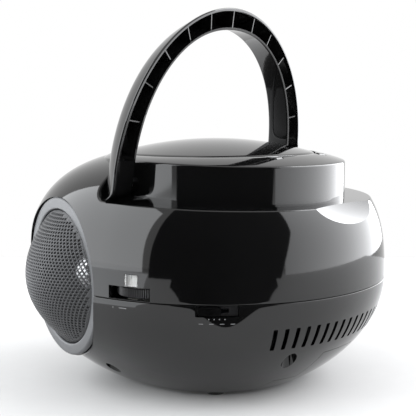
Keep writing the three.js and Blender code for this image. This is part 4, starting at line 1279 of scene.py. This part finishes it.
def black_flag(name, distance, edges):
    """A black studio flag that only reflections see; edges are (height, first, last)."""
    made, _, _ = shader(name, (0, 0, 0), 1.0, specular=0.0)
    grid = [[direction(a) * distance + Vector((0, 0, z)) for a in np.linspace(first, last, 25)]
            for z, first, last in edges]
    only_reflections(sheet_mesh(name, grid, made))


def only_reflections(piece):
    piece.visible_camera = False
    piece.visible_diffuse = False
    piece.visible_shadow = False
    piece.visible_transmission = False


def studio():
    scene = bpy.context.scene
    scene.view_settings.view_transform = "Standard"
    world = bpy.data.worlds.new("studio")
    world.use_nodes = True
    world.node_tree.nodes["Background"].inputs["Color"].default_value = (1, 1, 1, 1)
    world.node_tree.nodes["Background"].inputs["Strength"].default_value = 1.0
    scene.world = world
    table = moulded("table_top", (0.64, 0.64, 0.64), 0.7, grain=60, strength=0.02, tone=0.01)
    away = direction(306.8)
    across = Vector((-away.y, away.x, 0))
    grid = [[away * a + across * b for b in (-3, 3)] for a in (-3, 0.47)]
    sheet_mesh("table", grid, table)
    softbox("left_softbox", azimuth=40, width=2.0, radiance=3.5, tint=(0.95, 0.975, 1.0))
    right = softbox("right_softbox", azimuth=221, width=1.9, radiance=4.0, tint=(0.97, 0.98, 1.0))
    # reflections see the graded wall in its place
    right.visible_glossy = False
    graded_wall(172, 276, 2.4, 8.0)
    black_flag("camera_flag", 0.95, ((-0.02, 84, 168), (0.5, 86, 180), (1.6, 87, 188)))
    # painted shade: a black sheet darkens the table in reflections towards the camera
    floor_shade_sheet()
    floor_glow()


def graded_wall(first, last, dim, bright):
    """A lit curved wall, brighter towards its last azimuth, that only reflections see."""
    made, tree, surface = shader("graded_wall", (0, 0, 0), 1.0, specular=0.0)
    where = tree.nodes.new("ShaderNodeTexCoord")
    parts = tree.nodes.new("ShaderNodeSeparateXYZ")
    turn = tree.nodes.new("ShaderNodeMath")
    turn.operation = "ARCTAN2"
    grade = tree.nodes.new("ShaderNodeMapRange")
    # the angle runs from 0 at the rear to 90 degrees at the right
    grade.inputs["From Min"].default_value = radians(180 - last)
    grade.inputs["From Max"].default_value = radians(180 - first)
    grade.inputs["To Min"].default_value = bright
    grade.inputs["To Max"].default_value = dim
    tree.links.new(where.outputs["Object"], parts.inputs["Vector"])
    tree.links.new(parts.outputs["X"], turn.inputs[0])
    tree.links.new(parts.outputs["Y"], turn.inputs[1])
    tree.links.new(turn.outputs["Value"], grade.inputs["Value"])
    tree.links.new(grade.outputs["Result"], surface.inputs["Emission Strength"])
    surface.inputs["Emission Color"].default_value = (0.97, 0.98, 1.0, 1)
    grid = [[direction(a) * 1.2 + Vector((0, 0, z)) for a in np.linspace(first, last, 53)]
            for z in (-0.02, 1.8)]
    only_reflections(sheet_mesh("graded_wall", grid, made))


def floor_shade_sheet():
    """A black tongue on the table towards the camera, seen by reflections only: painted shade of the
    table in the player's reflections.
    """
    made, _, _ = shader("floor_shade_sheet", (0, 0, 0), 1.0, specular=0.0)
    azimuths = np.linspace(99, 165, 33)
    near = [0.165 + 0.45 * ((a - 132) / 33) ** 2 for a in azimuths]
    grid = [[direction(a) * r + Vector((0, 0, 0.001)) for a, r in zip(azimuths, radii)]
            for radii in (near, [0.95] * len(azimuths))]
    only_reflections(sheet_mesh("floor_shade_sheet", grid, made))


def floor_glow():
    """A lit panel on the table at the camera's left, seen by reflections only."""
    made, _, surface = shader("floor_glow", (0, 0, 0), 1.0, specular=0.0)
    surface.inputs["Emission Color"].default_value = (0.95, 0.975, 1.0, 1)
    surface.inputs["Emission Strength"].default_value = 3.0
    grid = [[direction(a) * r + Vector((0, 0, 0.0012)) for a in np.linspace(-5, 83, 33)]
            for r in (0.27, 1.3)]
    only_reflections(sheet_mesh("floor_glow", grid, made))


# ---------------------------------------------------------------- the player

camera()
studio()
upper_shell()
lower_shell()
battery_door()
lid()
disc_well()
disc_parts()
rounded_bar("lid_key", "lid_button", "lid_key", "gloss_black")
front_face()
front_keys()
speakers()
thumbwheel(1, "tuning_thumbwheel", "tuning", "tuning_wheel")
thumbwheel(-1, "volume_thumbwheel", "volume", "volume_wheel")
scale_drum()
scale_pane()
slider()
printed_marks()
handle()
screws_and_feet()
sockets()
inner_parts()
